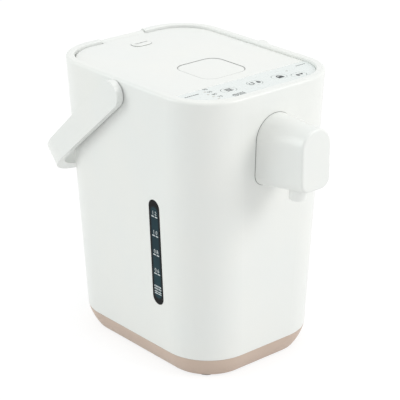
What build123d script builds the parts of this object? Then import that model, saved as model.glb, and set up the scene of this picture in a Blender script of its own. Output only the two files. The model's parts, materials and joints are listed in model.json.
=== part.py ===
"""Electric thermo pot: tapered housing, lift-up lid, motor pump, front spout and bail handle.

Sizes are in millimetres. The origin is on the table under the centre of the housing, +X points
to the right of someone facing the spout, the spout looks along -Y, and +Z points up.
"""

from build123d import *
from math import cos, radians, sin, sqrt
import os

os.makedirs("parts", exist_ok=True)

# ---- fits and clearances ----
running_fit = 0.05        # radial play of a pin that turns in a bore
snug_fit = 0.02           # radial play of pieces pushed together
seat_gap = 0.2            # play of a fixed piece in its opening
moving_gap = 0.4          # space between pieces that pass each other

# ---- housing ----
top_height = 235.0
top_width = 148.0
top_depth = 190.0
corner_radius = 40.0
lean = 0.0385             # how far every wall leans in, per millimetre down
wall = 2.4
rim_width = 6.9
rim_thickness = 6.0
rim_round = 2.5
rim_inner_round = 0.8

# ---- base ----
seam_height = 18.1
foot_height = 1.5         # how far the feet stand below the base
base_floor = 2.4
base_tuck = 7.1           # how far the base curves in at its underside
base_mid_tuck = 2.5       # the same, half way up
lip_height = 4.0
foot_radius = 7.8
foot_depth = 1.0          # how deep each foot sits in the base
foot_edge = 1.5
screw_radius = 1.5
screw_head_radius = 3.0
screw_head_height = 2.0
board_screw_radius = 1.2
board_screw_head = 2.0
screw_slot = 0.8
small_round = 0.6         # on the edges of small mouldings
base_edge_round = 1.2
post_radius = 5.5
frame_boss_radius = 6.6
frame_boss_height = 11.0
pump_post_radius = 4.0
board_post_radius = 3.0
board_boss_radius = 2.6
vent_row_y = 21.0         # slots in the floor under the power board
vent_row_pitch = 10.0
vent_row_count = 7
vent_row_length = 30.0
vent_row_width = 2.4

# ---- lid ----
lid_drop = 2.3            # lid surface below the rim
lid_gap = 0.5
panel_room = 41.0         # from the housing's front edge to the lid
lid_front = panel_room - top_depth / 2
lid_skin = 2.2
lid_cover_height = 10.7
lid_body_height = 8.6
hinge_inset = 3.5         # hinge line in from the rear edge, and below the top
hinge_y = top_depth / 2 - hinge_inset
hinge_z = top_height - hinge_inset
knuckle_radius = 2.6
hinge_pin_radius = 1.25
hinge_notch = 22.6        # half the width of the gap in the rim
hinge_pin_reach = 4.4     # how far the pin runs into the rim
rear_clearance = 0.35

# ---- mouth and container ----
side_room = 12.0          # from the housing's side to the container's inside
rear_room = 18.0          # from the housing's rear edge to the container's inside
pump_room = 48.0          # from the housing's front edge to the container's inside
container_wall = 0.7
container_floor = 34.0    # inside
container_flange = 4.0
lug_stand = 5.6           # lugs' middles beyond the container's flange
lug_radius = 4.5
clamp_lug_radius = 5.4
container_corner = 8.0
dish_height = 4.0         # from the container's floor up to its weld
seal_thickness = 1.3
frame_thickness = 3.0
mouth_depth = 13.0        # from the frame's top down to the container's seal
mouth_lip = 7.0           # how far the container reaches out past the mouth
plug_play = 1.7
plug_taper = 3.3
plug_wall = 1.8
gasket_width = 4.0

# ---- button, latch and steam vent ----
button_size = 43.0
button_corner = 10.5
button_setback = 26.0     # from the container's front to the button's middle
button_thickness = 2.6
button_travel = 3.0
spring_radius = 5.0
spring_wire = 0.5
spring_turns = 5
latch_width = 24.0
latch_thickness = 3.0
vent_inset = 29.6         # steam vent in from the rear edge
vent_y = top_depth / 2 - vent_inset
vent_length = 18.0
vent_width = 11.0
vent_rise = 1.0
vent_lip = 1.5            # cap's rim beyond its stem
vent_slot = (13.0, 1.4)
ball_radius = 5.2
ball_hole = ball_radius - 1.2
ball_play = 0.3
duct_half = 9.0           # steam duct's chamber, half its width
duct_front = 8.5          # chamber in front of the ball's middle
duct_rear = 7.0           # chamber behind the vent's middle
duct_outlet = 4.0

# ---- control panel ----
panel_thickness = 2.4
key_length = 13.0
key_width = 9.0
key_travel = 0.6
key_rim = 1.2             # key's flange beyond its cap
key_drop = 1.4            # flange's underside below the panel's
key_flange_thickness = 1.1
key_stand = 0.1           # cap's top above the panel
key_stem_radius = 1.6
side_edge = top_width / 2
front_edge = -top_depth / 2
key_spots = {
    "key_select": (49.5 - side_edge, front_edge + 26.0),
    "key_reboil": (1.2, front_edge + 25.5),
    "key_unlock": (side_edge - 48.7, front_edge + 24.4),
    "key_dispense": (side_edge - 34.0, front_edge + 18.0),
}
lamp_radius = 1.0
lamp_column = 31.0 - side_edge
lamp_spots = [(lamp_column + 2.0, front_edge + 34.0), (side_edge - 35.0, front_edge + 30.6)]
lamp_spots += [(lamp_column, front_edge + y) for y in (16.0, 22.0, 28.0)]
board_thickness = 1.6
board_reach = side_edge - 24.0
board_front = front_edge + 14.5
switch_size = 6.0

# ---- spout ----
spout_width = 37.6
spout_height = 56.0       # at the housing
spout_top = top_height - 19.0
spout_bottom = spout_top - spout_height
spout_corner = 10.0
spout_length = 43.5       # how far it stands out from the housing's top edge
spout_reach = top_depth / 2 + spout_length
spout_tip_width = 29.0
spout_tip_top = spout_top - 1.3
spout_tip_bottom = spout_bottom + 6.4
spout_tip_corner = 8.5
spout_wall = 2.0
spout_round = 2.0
spout_boss_radius = 3.4
spout_boss_length = 14.0
nozzle_cap = 5.0          # nozzle's top above its hose
nozzle_collar = 1.6
nozzle_collar_rim = 1.9   # collar beyond the nozzle's hole
nozzle_setback = 19.0     # nozzle behind the spout's end
nozzle_y = nozzle_setback - spout_reach
nozzle_radius = 6.8
nozzle_bore = 4.5
nozzle_tip = spout_bottom - 5.5
nozzle_seat = spout_bottom + 12.0

# ---- handle ----
pivot_y = 5.7
pivot_drop = 12.7         # pivots below the top
pivot_z = top_height - pivot_drop
arm_stand = 6.5           # arms' outer sides beyond the housing's top edge
handle_half_width = top_width / 2 + arm_stand
arm_thickness = 6.0
handle_droop = 41.5       # degrees below level, at rest
grip_stand = 13.46        # the grip's back beyond the housing's rear edge, at rest
handle_reach = (top_depth / 2 - pivot_y + grip_stand) / cos(radians(handle_droop))
grip_thickness = 12.0
corner_along = 43.8       # corner ellipse, along the arm
corner_across = 51.5      # corner ellipse, along the grip
arm_end_radius = 11.0
grip_half_width = 8.9
stud_radius = 5.0
stud_tip_radius = 3.5
bush_wall = 1.25
bush_flange = 0.7
retainer_radius = 8.0
retainer_thickness = 1.9

# ---- water level gauge ----
gauge_setback = 12.0      # from the container's front to the gauge's middle
gauge_low = 22.4        # window's low end above the container's floor
gauge_high = 52.5         # window's high end below the container's top
gauge_width = 13.0
gauge_flange = 2.0
gauge_flange_thickness = 1.2
tube_inset = 17.0         # gauge tube in from the housing's top edge
gauge_tube_x = tube_inset - top_width / 2
tube_radius = 4.0
tube_wall = 1.0
channel_depth = 13.0

# ---- pump and pipes ----
pump_x = 12.0
pump_gap = 13.0           # from the container's front to the pump's middle
motor_radius = 12.0
motor_height = 13.1
cushion_thickness = 1.5
casing_radius = 15.0
casing_height = 13.0
casing_wall = 2.4
casing_spigot = 4.0
pump_base_thickness = 2.5
pump_ear = 19.5
impeller_radius = 11.5
impeller_height = 6.5
impeller_disc = 1.5
hub_radius = 3.5
vane_count = 6
vane_thickness = 1.2
vane_turn = 20            # degrees off the radius
shaft_radius = 1.5
shaft_pocket = 3.0        # from the motor's underside up to its bore
side_spigot = 9.0         # outlet spigot beyond the casing
inlet_bend = 7.0
lower_bend = 11.0
upper_bends = (10, 10, 12)
hose_radius = 4.5
spigot_radius = 3.2
spigot_bore = 2.2
inlet_height = 46.0
nipple_length = 5.5
outlet_height = 28.0
upper_hose_drop = 14.7    # upper hose below the container's top
joint_radius = 5.4
joint_socket = 10.0       # how far the gauge tube goes into each joint
joint_cap = 5.0           # closed end beyond the spigot
lower_joint = 18.0        # spigot to open end
upper_joint = 24.0

# ---- heater and electronics ----
heater_inset = 18.0       # heater's edge in from the container's wall
heater_hole = 12.0
heater_thickness = 2.5
clamp_thickness = 1.4
sensor_radius = 8.0
fuse_radius = 2.0
fuse_length = 14.0
jacket_thickness = 1.3
jacket_bottom = 62.0
jacket_drop = 18.7        # jacket's top below the container's
socket_half_width = 31.0
socket_bottom = 7.5
socket_top = 30.0
socket_inset = 12.0       # socket's face in from the housing's rear edge
socket_back = top_depth / 2 - socket_inset
socket_depth = 20.0
socket_wall = 3.0
socket_floor = 4.0        # socket's thickness behind the recess
pin_spot = 6.5
pin_radius = 1.8
pin_length = 8.0
magnet_spot = 20.0
magnet_half = 5.0
magnet_thickness = 5.0
power_board_size = (46.0, top_depth - 116.0)
power_board_center = (-26.0, 14.0)
power_board_height = 10.0

# ---- places that follow ----
container_radius = (min(top_width - 2 * side_room, top_depth - rear_room - pump_room)) / 2
mouth_y = top_depth / 2 - rear_room - container_radius
container_front = mouth_y - container_radius
mouth_radius = container_radius - mouth_lip
plug_top_radius = mouth_radius - plug_play
plug_bottom_radius = plug_top_radius - plug_taper
heater_radius = container_radius - heater_inset
button_y = container_front + button_setback
gauge_y = container_front + gauge_setback
pump_y = container_front - pump_gap

# ---- heights that follow ----
rim_under = top_height - rim_thickness
lid_top = top_height - lid_drop
lid_split = lid_top - lid_cover_height
lid_bottom = lid_split - lid_body_height
lid_inset = rim_width + lid_gap
rear_reach = top_depth / 2 - rim_width
rim_edge_y = hinge_y - rear_reach
rim_edge_z = top_height - hinge_z
rim_corner = sqrt(rim_edge_y**2 + rim_edge_z**2) + rear_clearance
lid_back = hinge_y - sqrt(rim_corner**2 - (lid_top - hinge_z) ** 2)
panel_back = lid_front - lid_gap - 0.1
frame_top = lid_bottom - moving_gap
frame_under = frame_top - frame_thickness
underside = foot_height
floor_top = underside + base_floor
foot_top = underside + foot_depth
seat_bottom = frame_top - mouth_depth
plug_bottom = seat_bottom
container_top = seat_bottom - seal_thickness
upper_hose_height = container_top - upper_hose_drop
jacket_top = container_top - jacket_drop
gauge_bottom = container_floor + gauge_low
gauge_length = container_top - gauge_high - gauge_bottom
gauge_middle = gauge_bottom + gauge_length / 2
container_under = container_floor - container_wall
container_outer = container_radius + container_wall


# ---- shared shapes ----
def half_width(height, inset=0.0):
    """Distance from the middle to the housing's side wall at a height."""
    return top_width / 2 - lean * (top_height - height) - inset


def half_depth(height, inset=0.0):
    """Distance from the middle to the housing's front or rear wall at a height."""
    return top_depth / 2 - lean * (top_height - height) - inset


def outline(height, inset, rear_cut=0.0):
    """The housing's rounded outline at a height, drawn in by inset and at the rear by rear_cut."""
    with BuildSketch(Plane.XY.offset(height)) as shape:
        with Locations((0, -rear_cut / 2)):
            RectangleRounded(2 * half_width(height, inset), 2 * half_depth(height, inset) - rear_cut,
                             corner_radius - inset)
    return shape.sketch


def slab(low, high, inset, front=-top_depth, back=top_depth, rear_cut=0.0):
    """A slice of the housing's form, cut off straight at the front and the back."""
    with BuildPart() as piece:
        loft(sections=[outline(low, inset, rear_cut), outline(high, inset, rear_cut)], ruled=True)
        with Locations((0, (front + back) / 2, (low + high) / 2)):
            Box(2 * top_width, back - front, 2 * (high - low), mode=Mode.INTERSECT)
    return piece.part


def corner_spots(height, inset):
    """Four points on the corner diagonals, inset from the housing's surface at a height."""
    slant = (corner_radius - inset) / sqrt(2)
    x = half_width(height, corner_radius) + slant
    y = half_depth(height, corner_radius) + slant
    return [(-x, -y), (x, -y), (x, y), (-x, y)]


def rods(spots, low, high, radius, mode=Mode.ADD):
    """Upright round rods, or holes, between two heights."""
    with BuildSketch(Plane.XY.offset(low)) as rounds:
        with Locations(*spots):
            Circle(radius)
    extrude(rounds.sketch, amount=high - low, mode=mode)


def block(low, high, mode=Mode.ADD):
    """A straight block between two opposite corners."""
    with Locations(low):
        Box(*(b - a for a, b in zip(low, high)), align=(Align.MIN,) * 3, mode=mode)


def bar(start, end, radius, mode=Mode.ADD):
    """A round bar, or hole, from one point to another along X or Y."""
    run = Vector(*end) - Vector(*start)
    with BuildSketch(Plane(origin=start, z_dir=run.normalized())) as round_end:
        Circle(radius)
    extrude(round_end.sketch, amount=run.length, mode=mode)


def screws(spots, head_low, tip, radius=screw_radius, head=screw_head_radius):
    """Screws with a pan head at head_low and the tip above or below it."""
    up = 1 if tip > head_low else -1
    neck = head_low + up * screw_head_height
    with BuildPart() as group:
        rods(spots, min(head_low, neck), max(head_low, neck), head)
        rods(spots, min(neck, tip), max(neck, tip), radius)
        half = screw_slot / 2
        for x, y in spots:
            low = head_low if up > 0 else head_low - screw_slot
            block((x - head, y - half, low), (x + head, y + half, low + screw_slot), Mode.SUBTRACT)
    return group.part


def hose(path_wire, start, direction):
    """A soft hose of even wall swept along a path."""
    with BuildPart() as piece:
        with BuildSketch(Plane(origin=start, z_dir=direction)) as ring:
            Circle(hose_radius)
            Circle(spigot_radius + running_fit, mode=Mode.SUBTRACT)
        sweep(sections=ring.sketch, path=path_wire)
    return piece.part


front_face = Plane(origin=(0, -top_depth / 2, top_height), x_dir=(1, 0, 0), z_dir=(0, -1, -lean))
side_face = Plane(origin=(-top_width / 2, 0, top_height), x_dir=(0, -1, 0), z_dir=(-1, 0, -lean))

foot_inset = base_tuck + foot_edge + foot_radius
foot_spots = corner_spots(underside, foot_inset)
frame_screw_spots = corner_spots(frame_under, 8.5)
spout_screw_spots = [(x, spout_top - 13.0) for x in (-13.0, 13.0)]

# ---- outer shell: side walls and rim in one moulding ----
shell_boss_height = 10.0
with BuildPart() as outer_shell:
    add(slab(seam_height, top_height, 0))
    fillet(outer_shell.faces().sort_by(Axis.Z)[-1].edges(), rim_round)
    add(slab(seam_height - 1, rim_under, wall), mode=Mode.SUBTRACT)
    add(slab(rim_under - 1, top_height + 1, rim_width), mode=Mode.SUBTRACT)
    rim_face = outer_shell.faces().filter_by(Axis.Z).sort_by(Axis.Z)[-1]
    fillet(rim_face.inner_wires().edges(), rim_inner_round)
    # bosses for the base screws, each tied to its corner by a rib
    boss_low = seam_height + seat_gap + lip_height
    rods(foot_spots, boss_low, boss_low + shell_boss_height, post_radius)
    for x, y in foot_spots:
        turn = 45 if x * y > 0 else -45
        rib_length = foot_inset + seat_gap
        shift = rib_length / 2 / sqrt(2)
        with BuildSketch(Plane.XY.offset(boss_low)) as rib:
            with Locations((x + (shift if x > 0 else -shift), y + (shift if y > 0 else -shift))):
                Rectangle(rib_length, wall, rotation=turn)
        extrude(rib.sketch, amount=shell_boss_height)
    rods(foot_spots, boss_low, boss_low + shell_boss_height - 2, screw_radius + snug_fit, Mode.SUBTRACT)
    # bosses for the screws of the top frame
    rods(frame_screw_spots, frame_under - frame_boss_height, frame_under, frame_boss_radius)
    rods(frame_screw_spots, frame_under - frame_boss_height + 1, frame_under, screw_radius + snug_fit,
         Mode.SUBTRACT)
    # gap in the rear rim for the lid's hinge
    hinge_floor = hinge_z - knuckle_radius - moving_gap - 0.2
    block((-hinge_notch, rear_reach - 2, hinge_floor), (hinge_notch, top_depth, top_height + 1),
          Mode.SUBTRACT)
    pin_end = hinge_notch + hinge_pin_reach
    bar((-pin_end, hinge_y, hinge_z), (pin_end, hinge_y, hinge_z), hinge_pin_radius + snug_fit,
        Mode.SUBTRACT)
    # bores for the handle's bushes
    bush_radius = stud_radius + running_fit + bush_wall
    bar((-top_width, pivot_y, pivot_z), (top_width, pivot_y, pivot_z), bush_radius + snug_fit, Mode.SUBTRACT)
    bush_seat = half_width(pivot_z, wall)
    for side in (-1, 1):
        bar((side * bush_seat, pivot_y, pivot_z), (side * (bush_seat - rim_width), pivot_y, pivot_z),
            retainer_radius + seat_gap + moving_gap, Mode.SUBTRACT)
    # window for the water level gauge
    with BuildSketch(side_face) as gauge_slot:
        with Locations((-gauge_y, gauge_middle - top_height)):
            SlotOverall(gauge_length, gauge_width, rotation=90)
    extrude(gauge_slot.sketch, amount=3 * wall, both=True, mode=Mode.SUBTRACT)
    # holes behind the spout for the outlet hose and two screws
    bar((0, -top_depth, upper_hose_height), (0, -half_depth(spout_bottom, 4 * wall), upper_hose_height),
        hose_radius + moving_gap, Mode.SUBTRACT)
    for x, z in spout_screw_spots:
        bar((x, -top_depth, z), (x, -half_depth(z, 4 * wall), z), screw_radius + seat_gap, Mode.SUBTRACT)
    # opening for the plug socket
    block((-socket_half_width, socket_back - socket_depth, 0),
          (socket_half_width, top_depth, socket_top), Mode.SUBTRACT)
outer_shell.part.label = "outer_shell"
export_step(outer_shell.part, "parts/outer_shell.step")


# ---- base cover: the coloured band with the floor ----
def base_form(inset, low):
    """The base's curved-in form, from a height up to the seam."""
    rise = (low - underside) / (seam_height - underside)
    low_tuck = base_tuck * (1 - rise)
    middle = (low + seam_height) / 2
    with BuildPart() as form:
        loft(sections=[
            outline(low, inset + low_tuck),
            outline(middle, inset + base_mid_tuck * (1 - rise)),
            outline(seam_height - seat_gap, inset),
        ])
    return form.part


pump_post_spots = [(pump_x - pump_ear, pump_y), (pump_x + pump_ear, pump_y)]
board_half = [side / 2 - 4 for side in power_board_size]
board_post_spots = [
    (power_board_center[0] + sx * board_half[0], power_board_center[1] + sy * board_half[1])
    for sx in (-1, 1) for sy in (-1, 1)
]
motor_bottom = floor_top + cushion_thickness
motor_top = motor_bottom + motor_height
pump_floor = motor_top + pump_base_thickness
with BuildPart() as base_cover:
    add(base_form(0, underside))
    fillet(base_cover.faces().sort_by(Axis.Z)[0].edges(), base_edge_round)
    add(base_form(wall, floor_top), mode=Mode.SUBTRACT)
    # lip that centres the shell
    add(slab(seam_height - 4, seam_height + lip_height, wall + seat_gap))
    add(slab(seam_height - 5, seam_height + lip_height + 1, 2 * wall), mode=Mode.SUBTRACT)
    rods(foot_spots, floor_top - 0.5, seam_height + lip_height, post_radius)
    rods(pump_post_spots, floor_top - 0.5, motor_top, pump_post_radius)
    rods(board_post_spots, floor_top - 0.5, power_board_height, board_post_radius)
    # feet and their screws
    rods(foot_spots, underside - 1, foot_top, foot_radius + snug_fit, Mode.SUBTRACT)
    rods(foot_spots, underside, foot_top + screw_head_height + seat_gap, screw_head_radius + seat_gap,
         Mode.SUBTRACT)
    rods(foot_spots, underside, seam_height + lip_height, screw_radius + seat_gap, Mode.SUBTRACT)
    rods(pump_post_spots, motor_top - 9, motor_top, screw_radius + snug_fit, Mode.SUBTRACT)
    rods(board_post_spots, floor_top + 1, power_board_height, board_screw_radius + snug_fit, Mode.SUBTRACT)
    block((-socket_half_width, socket_back - socket_depth, socket_bottom),
          (socket_half_width, top_depth, seam_height + lip_height + 1), Mode.SUBTRACT)
    # vents in the floor under the board
    with BuildSketch(Plane.XY.offset(underside - 1)) as vents:
        with Locations((0, vent_row_y)):
            with GridLocations(vent_row_pitch, 0, vent_row_count, 1):
                SlotOverall(vent_row_length, vent_row_width, rotation=90)
    extrude(vents.sketch, amount=base_floor + 2, mode=Mode.SUBTRACT)
base_cover.part.label = "base_cover"
export_step(base_cover.part, "parts/base_cover.step")

with BuildPart() as rubber_feet:
    rods(foot_spots, 0, foot_top, foot_radius)
    fillet(rubber_feet.faces().filter_by(Axis.Z).group_by(Axis.Z)[0].edges(), small_round)
rubber_feet.part.label = "rubber_feet"
export_step(rubber_feet.part, "parts/rubber_feet.step")

with BuildPart() as base_screws:
    add(screws(foot_spots, foot_top + seat_gap, boss_low + shell_boss_height - 3))
base_screws.part.label = "base_screws"
export_step(base_screws.part, "parts/base_screws.step")

# ---- top frame: carries the lid seat, the container and the control panel ----
lug_reach = container_outer + container_flange + lug_stand
lug_angle = radians(35)
lug_spots = [
    (sx * lug_reach * cos(lug_angle), mouth_y + sy * lug_reach * sin(lug_angle))
    for sx in (-1, 1) for sy in (-1, 1)
]
panel_under = lid_top - panel_thickness
board_top = panel_under - 6.3
board_under = board_top - board_thickness
board_screw_spots = [
    (sx * (board_reach - 3), front_edge + y) for sx in (-1, 1) for y in (33.0, 22.5)
]
seat_radius = container_outer + container_flange
upstand_inset = rim_width - 1.9
gasket_outer = plug_top_radius + snug_fit + gasket_width
with BuildPart() as top_frame:
    add(slab(frame_under, frame_top, wall + seat_gap))
    add(slab(frame_top - 1, rim_under, upstand_inset))
    add(slab(frame_top, rim_under + 1, rim_width), mode=Mode.SUBTRACT)
    # ledge and cross wall under the control panel
    add(slab(rim_under - 2, panel_under, rim_width + seat_gap, back=panel_back))
    add(slab(rim_under - 1.9, rim_under, upstand_inset, back=panel_back))
    add(slab(rim_under - 3, panel_under + 1, rim_width + 3, back=panel_back), mode=Mode.SUBTRACT)
    cross_half = half_width(frame_top, rim_width - 0.5)
    block((-cross_half, panel_back - 3.2, frame_top - 1), (cross_half, panel_back - 1.4, panel_under))
    # mouth with the seat that presses on the container's seal
    rods([(0, mouth_y)], seat_bottom, frame_top, mouth_radius + 2.6)
    rods([(0, mouth_y)], seat_bottom, seat_bottom + 2.4, seat_radius)
    rods([(0, mouth_y)], seat_bottom - 1, frame_top + 1, mouth_radius, Mode.SUBTRACT)
    rods([(0, mouth_y)], frame_top - 1.7, frame_top + 1, gasket_outer + 1.0, Mode.SUBTRACT)
    # lugs for the clamp ring
    rods(lug_spots, container_top - container_wall, frame_under, lug_radius)
    rods(lug_spots, container_top - container_wall, frame_under - 2, screw_radius + snug_fit, Mode.SUBTRACT)
    rods(board_screw_spots, frame_top - 0.5, board_under, board_boss_radius)
    rods(board_screw_spots, frame_top, board_under, board_screw_radius + snug_fit, Mode.SUBTRACT)
    # screws to the shell, heads below the surface
    rods(frame_screw_spots, frame_under - 1, frame_top + 1, screw_radius + seat_gap, Mode.SUBTRACT)
    rods(frame_screw_spots, frame_top - screw_head_height - 0.1, frame_top + 1,
         screw_head_radius + seat_gap, Mode.SUBTRACT)
    # room for the hinge and for the handle's retainers
    block((-hinge_notch, rear_reach - 3, hinge_floor), (hinge_notch, top_depth, top_height), Mode.SUBTRACT)
    pocket = retainer_radius + 1.0
    block((-top_width, pivot_y - pocket, pivot_z - pocket), (top_width, pivot_y + pocket, top_height),
          Mode.SUBTRACT)
top_frame.part.label = "top_frame"
export_step(top_frame.part, "parts/top_frame.step")

# ---- inner container and what holds it ----
nipple_y = mouth_y - sqrt(container_outer**2 - pump_x**2)
nipple_end = nipple_y - nipple_length
mouth_axis = Axis((0, mouth_y, 0), (0, 0, 1))
mouth_plane = Plane(origin=(0, mouth_y, 0), x_dir=(1, 0, 0), z_dir=(0, -1, 0))
flange_under = container_top - container_wall
with BuildPart() as vessel:
    with BuildSketch(mouth_plane) as outside:
        with BuildLine():
            Polyline((0, container_under), (container_outer, container_under),
                     (container_outer, flange_under), (seat_radius, flange_under),
                     (seat_radius, container_top), (0, container_top), close=True)
        make_face()
        fillet(outside.vertices().sort_by_distance((container_outer, container_under))[0], container_corner)
    revolve(axis=mouth_axis)
    # water outlet to the pump
    bar((pump_x, nipple_y + 3, inlet_height), (pump_x, nipple_end, inlet_height), spigot_radius)
    with BuildSketch(mouth_plane) as room:
        with BuildLine():
            Polyline((0, container_floor), (container_radius, container_floor),
                     (container_radius, container_top + 1), (0, container_top + 1), close=True)
        make_face()
        fillet(room.vertices().sort_by_distance((container_radius, container_floor))[0],
               container_corner - container_wall)
    revolve(axis=mouth_axis, mode=Mode.SUBTRACT)
    bar((pump_x, nipple_end - 1, inlet_height), (pump_x, nipple_y + 8, inlet_height), spigot_bore,
        Mode.SUBTRACT)

# the vessel is a wall welded to a dished bottom
weld = Plane.XY.offset(container_floor + dish_height)
with BuildPart() as inner_container:
    add(vessel.part)
    split(bisect_by=weld, keep=Keep.TOP)
inner_container.part.label = "inner_container"
export_step(inner_container.part, "parts/inner_container.step")

with BuildPart() as container_bottom:
    add(vessel.part)
    split(bisect_by=weld, keep=Keep.BOTTOM)
container_bottom.part.label = "container_bottom"
export_step(container_bottom.part, "parts/container_bottom.step")


def ring(inner, outer, low, high):
    """An upright ring, or a disc if inner is 0, centred on the mouth."""
    with BuildPart() as piece:
        rods([(0, mouth_y)], low, high, outer)
        if inner:
            rods([(0, mouth_y)], low, high, inner, Mode.SUBTRACT)
    return piece.part



with BuildPart() as container_seal:
    add(ring(container_radius - 1.5, seat_radius - 0.3, container_top, seat_bottom))
container_seal.part.label = "container_seal"
export_step(container_seal.part, "parts/container_seal.step")

clamp_ring_height = 3.0
with BuildPart() as clamp_ring:
    add(ring(0, seat_radius + 1, flange_under - clamp_ring_height, flange_under))
    rods(lug_spots, flange_under - clamp_ring_height, flange_under, clamp_lug_radius)
    add(ring(0, container_outer + seat_gap, flange_under - 5, flange_under + 1), mode=Mode.SUBTRACT)
    rods(lug_spots, flange_under - 5, flange_under + 1, screw_radius + seat_gap, Mode.SUBTRACT)
clamp_ring.part.label = "clamp_ring"
export_step(clamp_ring.part, "parts/clamp_ring.step")

with BuildPart() as insulation_jacket:
    add(ring(container_outer + seat_gap / 2, container_outer + seat_gap / 2 + jacket_thickness,
             jacket_bottom, jacket_top))
insulation_jacket.part.label = "insulation_jacket"
export_step(insulation_jacket.part, "parts/insulation_jacket.step")

heater_under = container_under - heater_thickness
with BuildPart() as heater_plate:
    add(ring(heater_hole, heater_radius, heater_under, container_under))
heater_plate.part.label = "heater_plate"
export_step(heater_plate.part, "parts/heater_plate.step")

clamp_under = heater_under - clamp_thickness
with BuildPart() as heater_clamp:
    add(ring(sensor_radius + seat_gap, heater_radius - 2, clamp_under, heater_under))
heater_clamp.part.label = "heater_clamp"
export_step(heater_clamp.part, "parts/heater_clamp.step")

with BuildPart() as temperature_sensor:
    add(ring(0, sensor_radius, clamp_under - 3, container_under))
    add(ring(0, sensor_radius / 2, clamp_under - 6, clamp_under - 3))
temperature_sensor.part.label = "temperature_sensor"
export_step(temperature_sensor.part, "parts/temperature_sensor.step")

fuse_y = mouth_y + heater_radius / 2
fuse_z = clamp_under - fuse_radius
with BuildPart() as thermal_fuse:
    bar((-fuse_length / 2, fuse_y, fuse_z), (fuse_length / 2, fuse_y, fuse_z), fuse_radius)
thermal_fuse.part.label = "thermal_fuse"
export_step(thermal_fuse.part, "parts/thermal_fuse.step")

# ---- pump ----
with BuildPart() as motor_cushion:
    rods([(pump_x, pump_y)], floor_top, motor_bottom, motor_radius + 0.8)
motor_cushion.part.label = "motor_cushion"
export_step(motor_cushion.part, "parts/motor_cushion.step")

with BuildPart() as pump_motor:
    rods([(pump_x, pump_y)], motor_bottom, motor_top, motor_radius)
    fillet(pump_motor.faces().sort_by(Axis.Z)[0].edges(), 1.0)
    rods([(pump_x, pump_y)], motor_bottom + shaft_pocket, motor_top, shaft_radius + running_fit,
         Mode.SUBTRACT)
pump_motor.part.label = "pump_motor"
export_step(pump_motor.part, "parts/pump_motor.step")

casing_top = pump_floor + casing_height
casing_spigot_x = pump_x - casing_radius - side_spigot
with BuildPart() as pump_base:
    rods([(pump_x, pump_y)], motor_top, pump_floor, casing_radius)
    block((pump_x - pump_ear, pump_y - pump_post_radius, motor_top),
          (pump_x + pump_ear, pump_y + pump_post_radius, pump_floor))
    rods(pump_post_spots, motor_top, pump_floor, pump_post_radius)
    rods([(pump_x, pump_y)], motor_top, pump_floor, shaft_radius + running_fit, Mode.SUBTRACT)
    rods(pump_post_spots, motor_top, pump_floor, screw_radius + seat_gap, Mode.SUBTRACT)
pump_base.part.label = "pump_base"
export_step(pump_base.part, "parts/pump_base.step")

with BuildPart() as pump_casing:
    rods([(pump_x, pump_y)], pump_floor, casing_top, casing_radius)
    fillet(pump_casing.faces().sort_by(Axis.Z)[-1].edges(), 1.5)
    rods([(pump_x, pump_y)], pump_floor, casing_top + casing_spigot, spigot_radius)
    outlet_run = (pump_x, pump_y, outlet_height), (casing_spigot_x, pump_y, outlet_height)
    bar(*outlet_run, spigot_radius)
    rods([(pump_x, pump_y)], pump_floor, casing_top - casing_wall, casing_radius - casing_wall,
         Mode.SUBTRACT)
    rods([(pump_x, pump_y)], pump_floor, casing_top + casing_spigot, spigot_bore, Mode.SUBTRACT)
    bar(*outlet_run, spigot_bore, Mode.SUBTRACT)
pump_casing.part.label = "pump_casing"
export_step(pump_casing.part, "parts/pump_casing.step")

impeller_low = pump_floor + moving_gap
shaft_top = impeller_low + impeller_height - 1
with BuildPart() as motor_shaft:
    rods([(pump_x, pump_y)], motor_bottom + shaft_pocket + moving_gap, shaft_top, shaft_radius)
motor_shaft.part.label = "motor_shaft"
export_step(motor_shaft.part, "parts/motor_shaft.step")

with BuildPart() as pump_impeller:
    rods([(pump_x, pump_y)], impeller_low, impeller_low + impeller_disc, impeller_radius)
    rods([(pump_x, pump_y)], impeller_low, impeller_low + impeller_height, hub_radius)
    with BuildSketch(Plane.XY.offset(impeller_low)) as vanes:
        with Locations((pump_x, pump_y)):
            with PolarLocations(impeller_radius / 2 + 1, vane_count):
                Rectangle(impeller_radius - 3, vane_thickness, rotation=vane_turn)
    extrude(vanes.sketch, amount=impeller_height)
    rods([(pump_x, pump_y)], impeller_low, shaft_top, shaft_radius + snug_fit, Mode.SUBTRACT)
pump_impeller.part.label = "pump_impeller"
export_step(pump_impeller.part, "parts/pump_impeller.step")

# ---- hoses and gauge tube ----
inlet_start = (pump_x, nipple_y - 2.0, inlet_height)
inlet_plane = Plane.YZ.offset(pump_x)
with BuildLine(inlet_plane) as inlet_path:
    FilletPolyline((nipple_y - 2.0, inlet_height), (pump_y, inlet_height), (pump_y, casing_top + 1),
                   radius=inlet_bend)
with BuildPart() as inlet_hose:
    add(hose(inlet_path.wire(), inlet_start, (0, -1, 0)))
inlet_hose.part.label = "inlet_hose"
export_step(inlet_hose.part, "parts/inlet_hose.step")

joint_spigot = 14.0
lower_start = (casing_spigot_x + 8.0, pump_y, outlet_height)
lower_turn_x = casing_spigot_x - 12.0
with BuildLine(Plane.XY.offset(outlet_height)) as lower_path:
    FilletPolyline((lower_start[0], pump_y), (lower_turn_x, pump_y), (lower_turn_x, gauge_y),
                   (gauge_tube_x + joint_radius + 1, gauge_y), radius=lower_bend)
with BuildPart() as lower_hose:
    add(hose(lower_path.wire(), lower_start, (-1, 0, 0)))
lower_hose.part.label = "lower_hose"
export_step(lower_hose.part, "parts/lower_hose.step")


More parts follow.
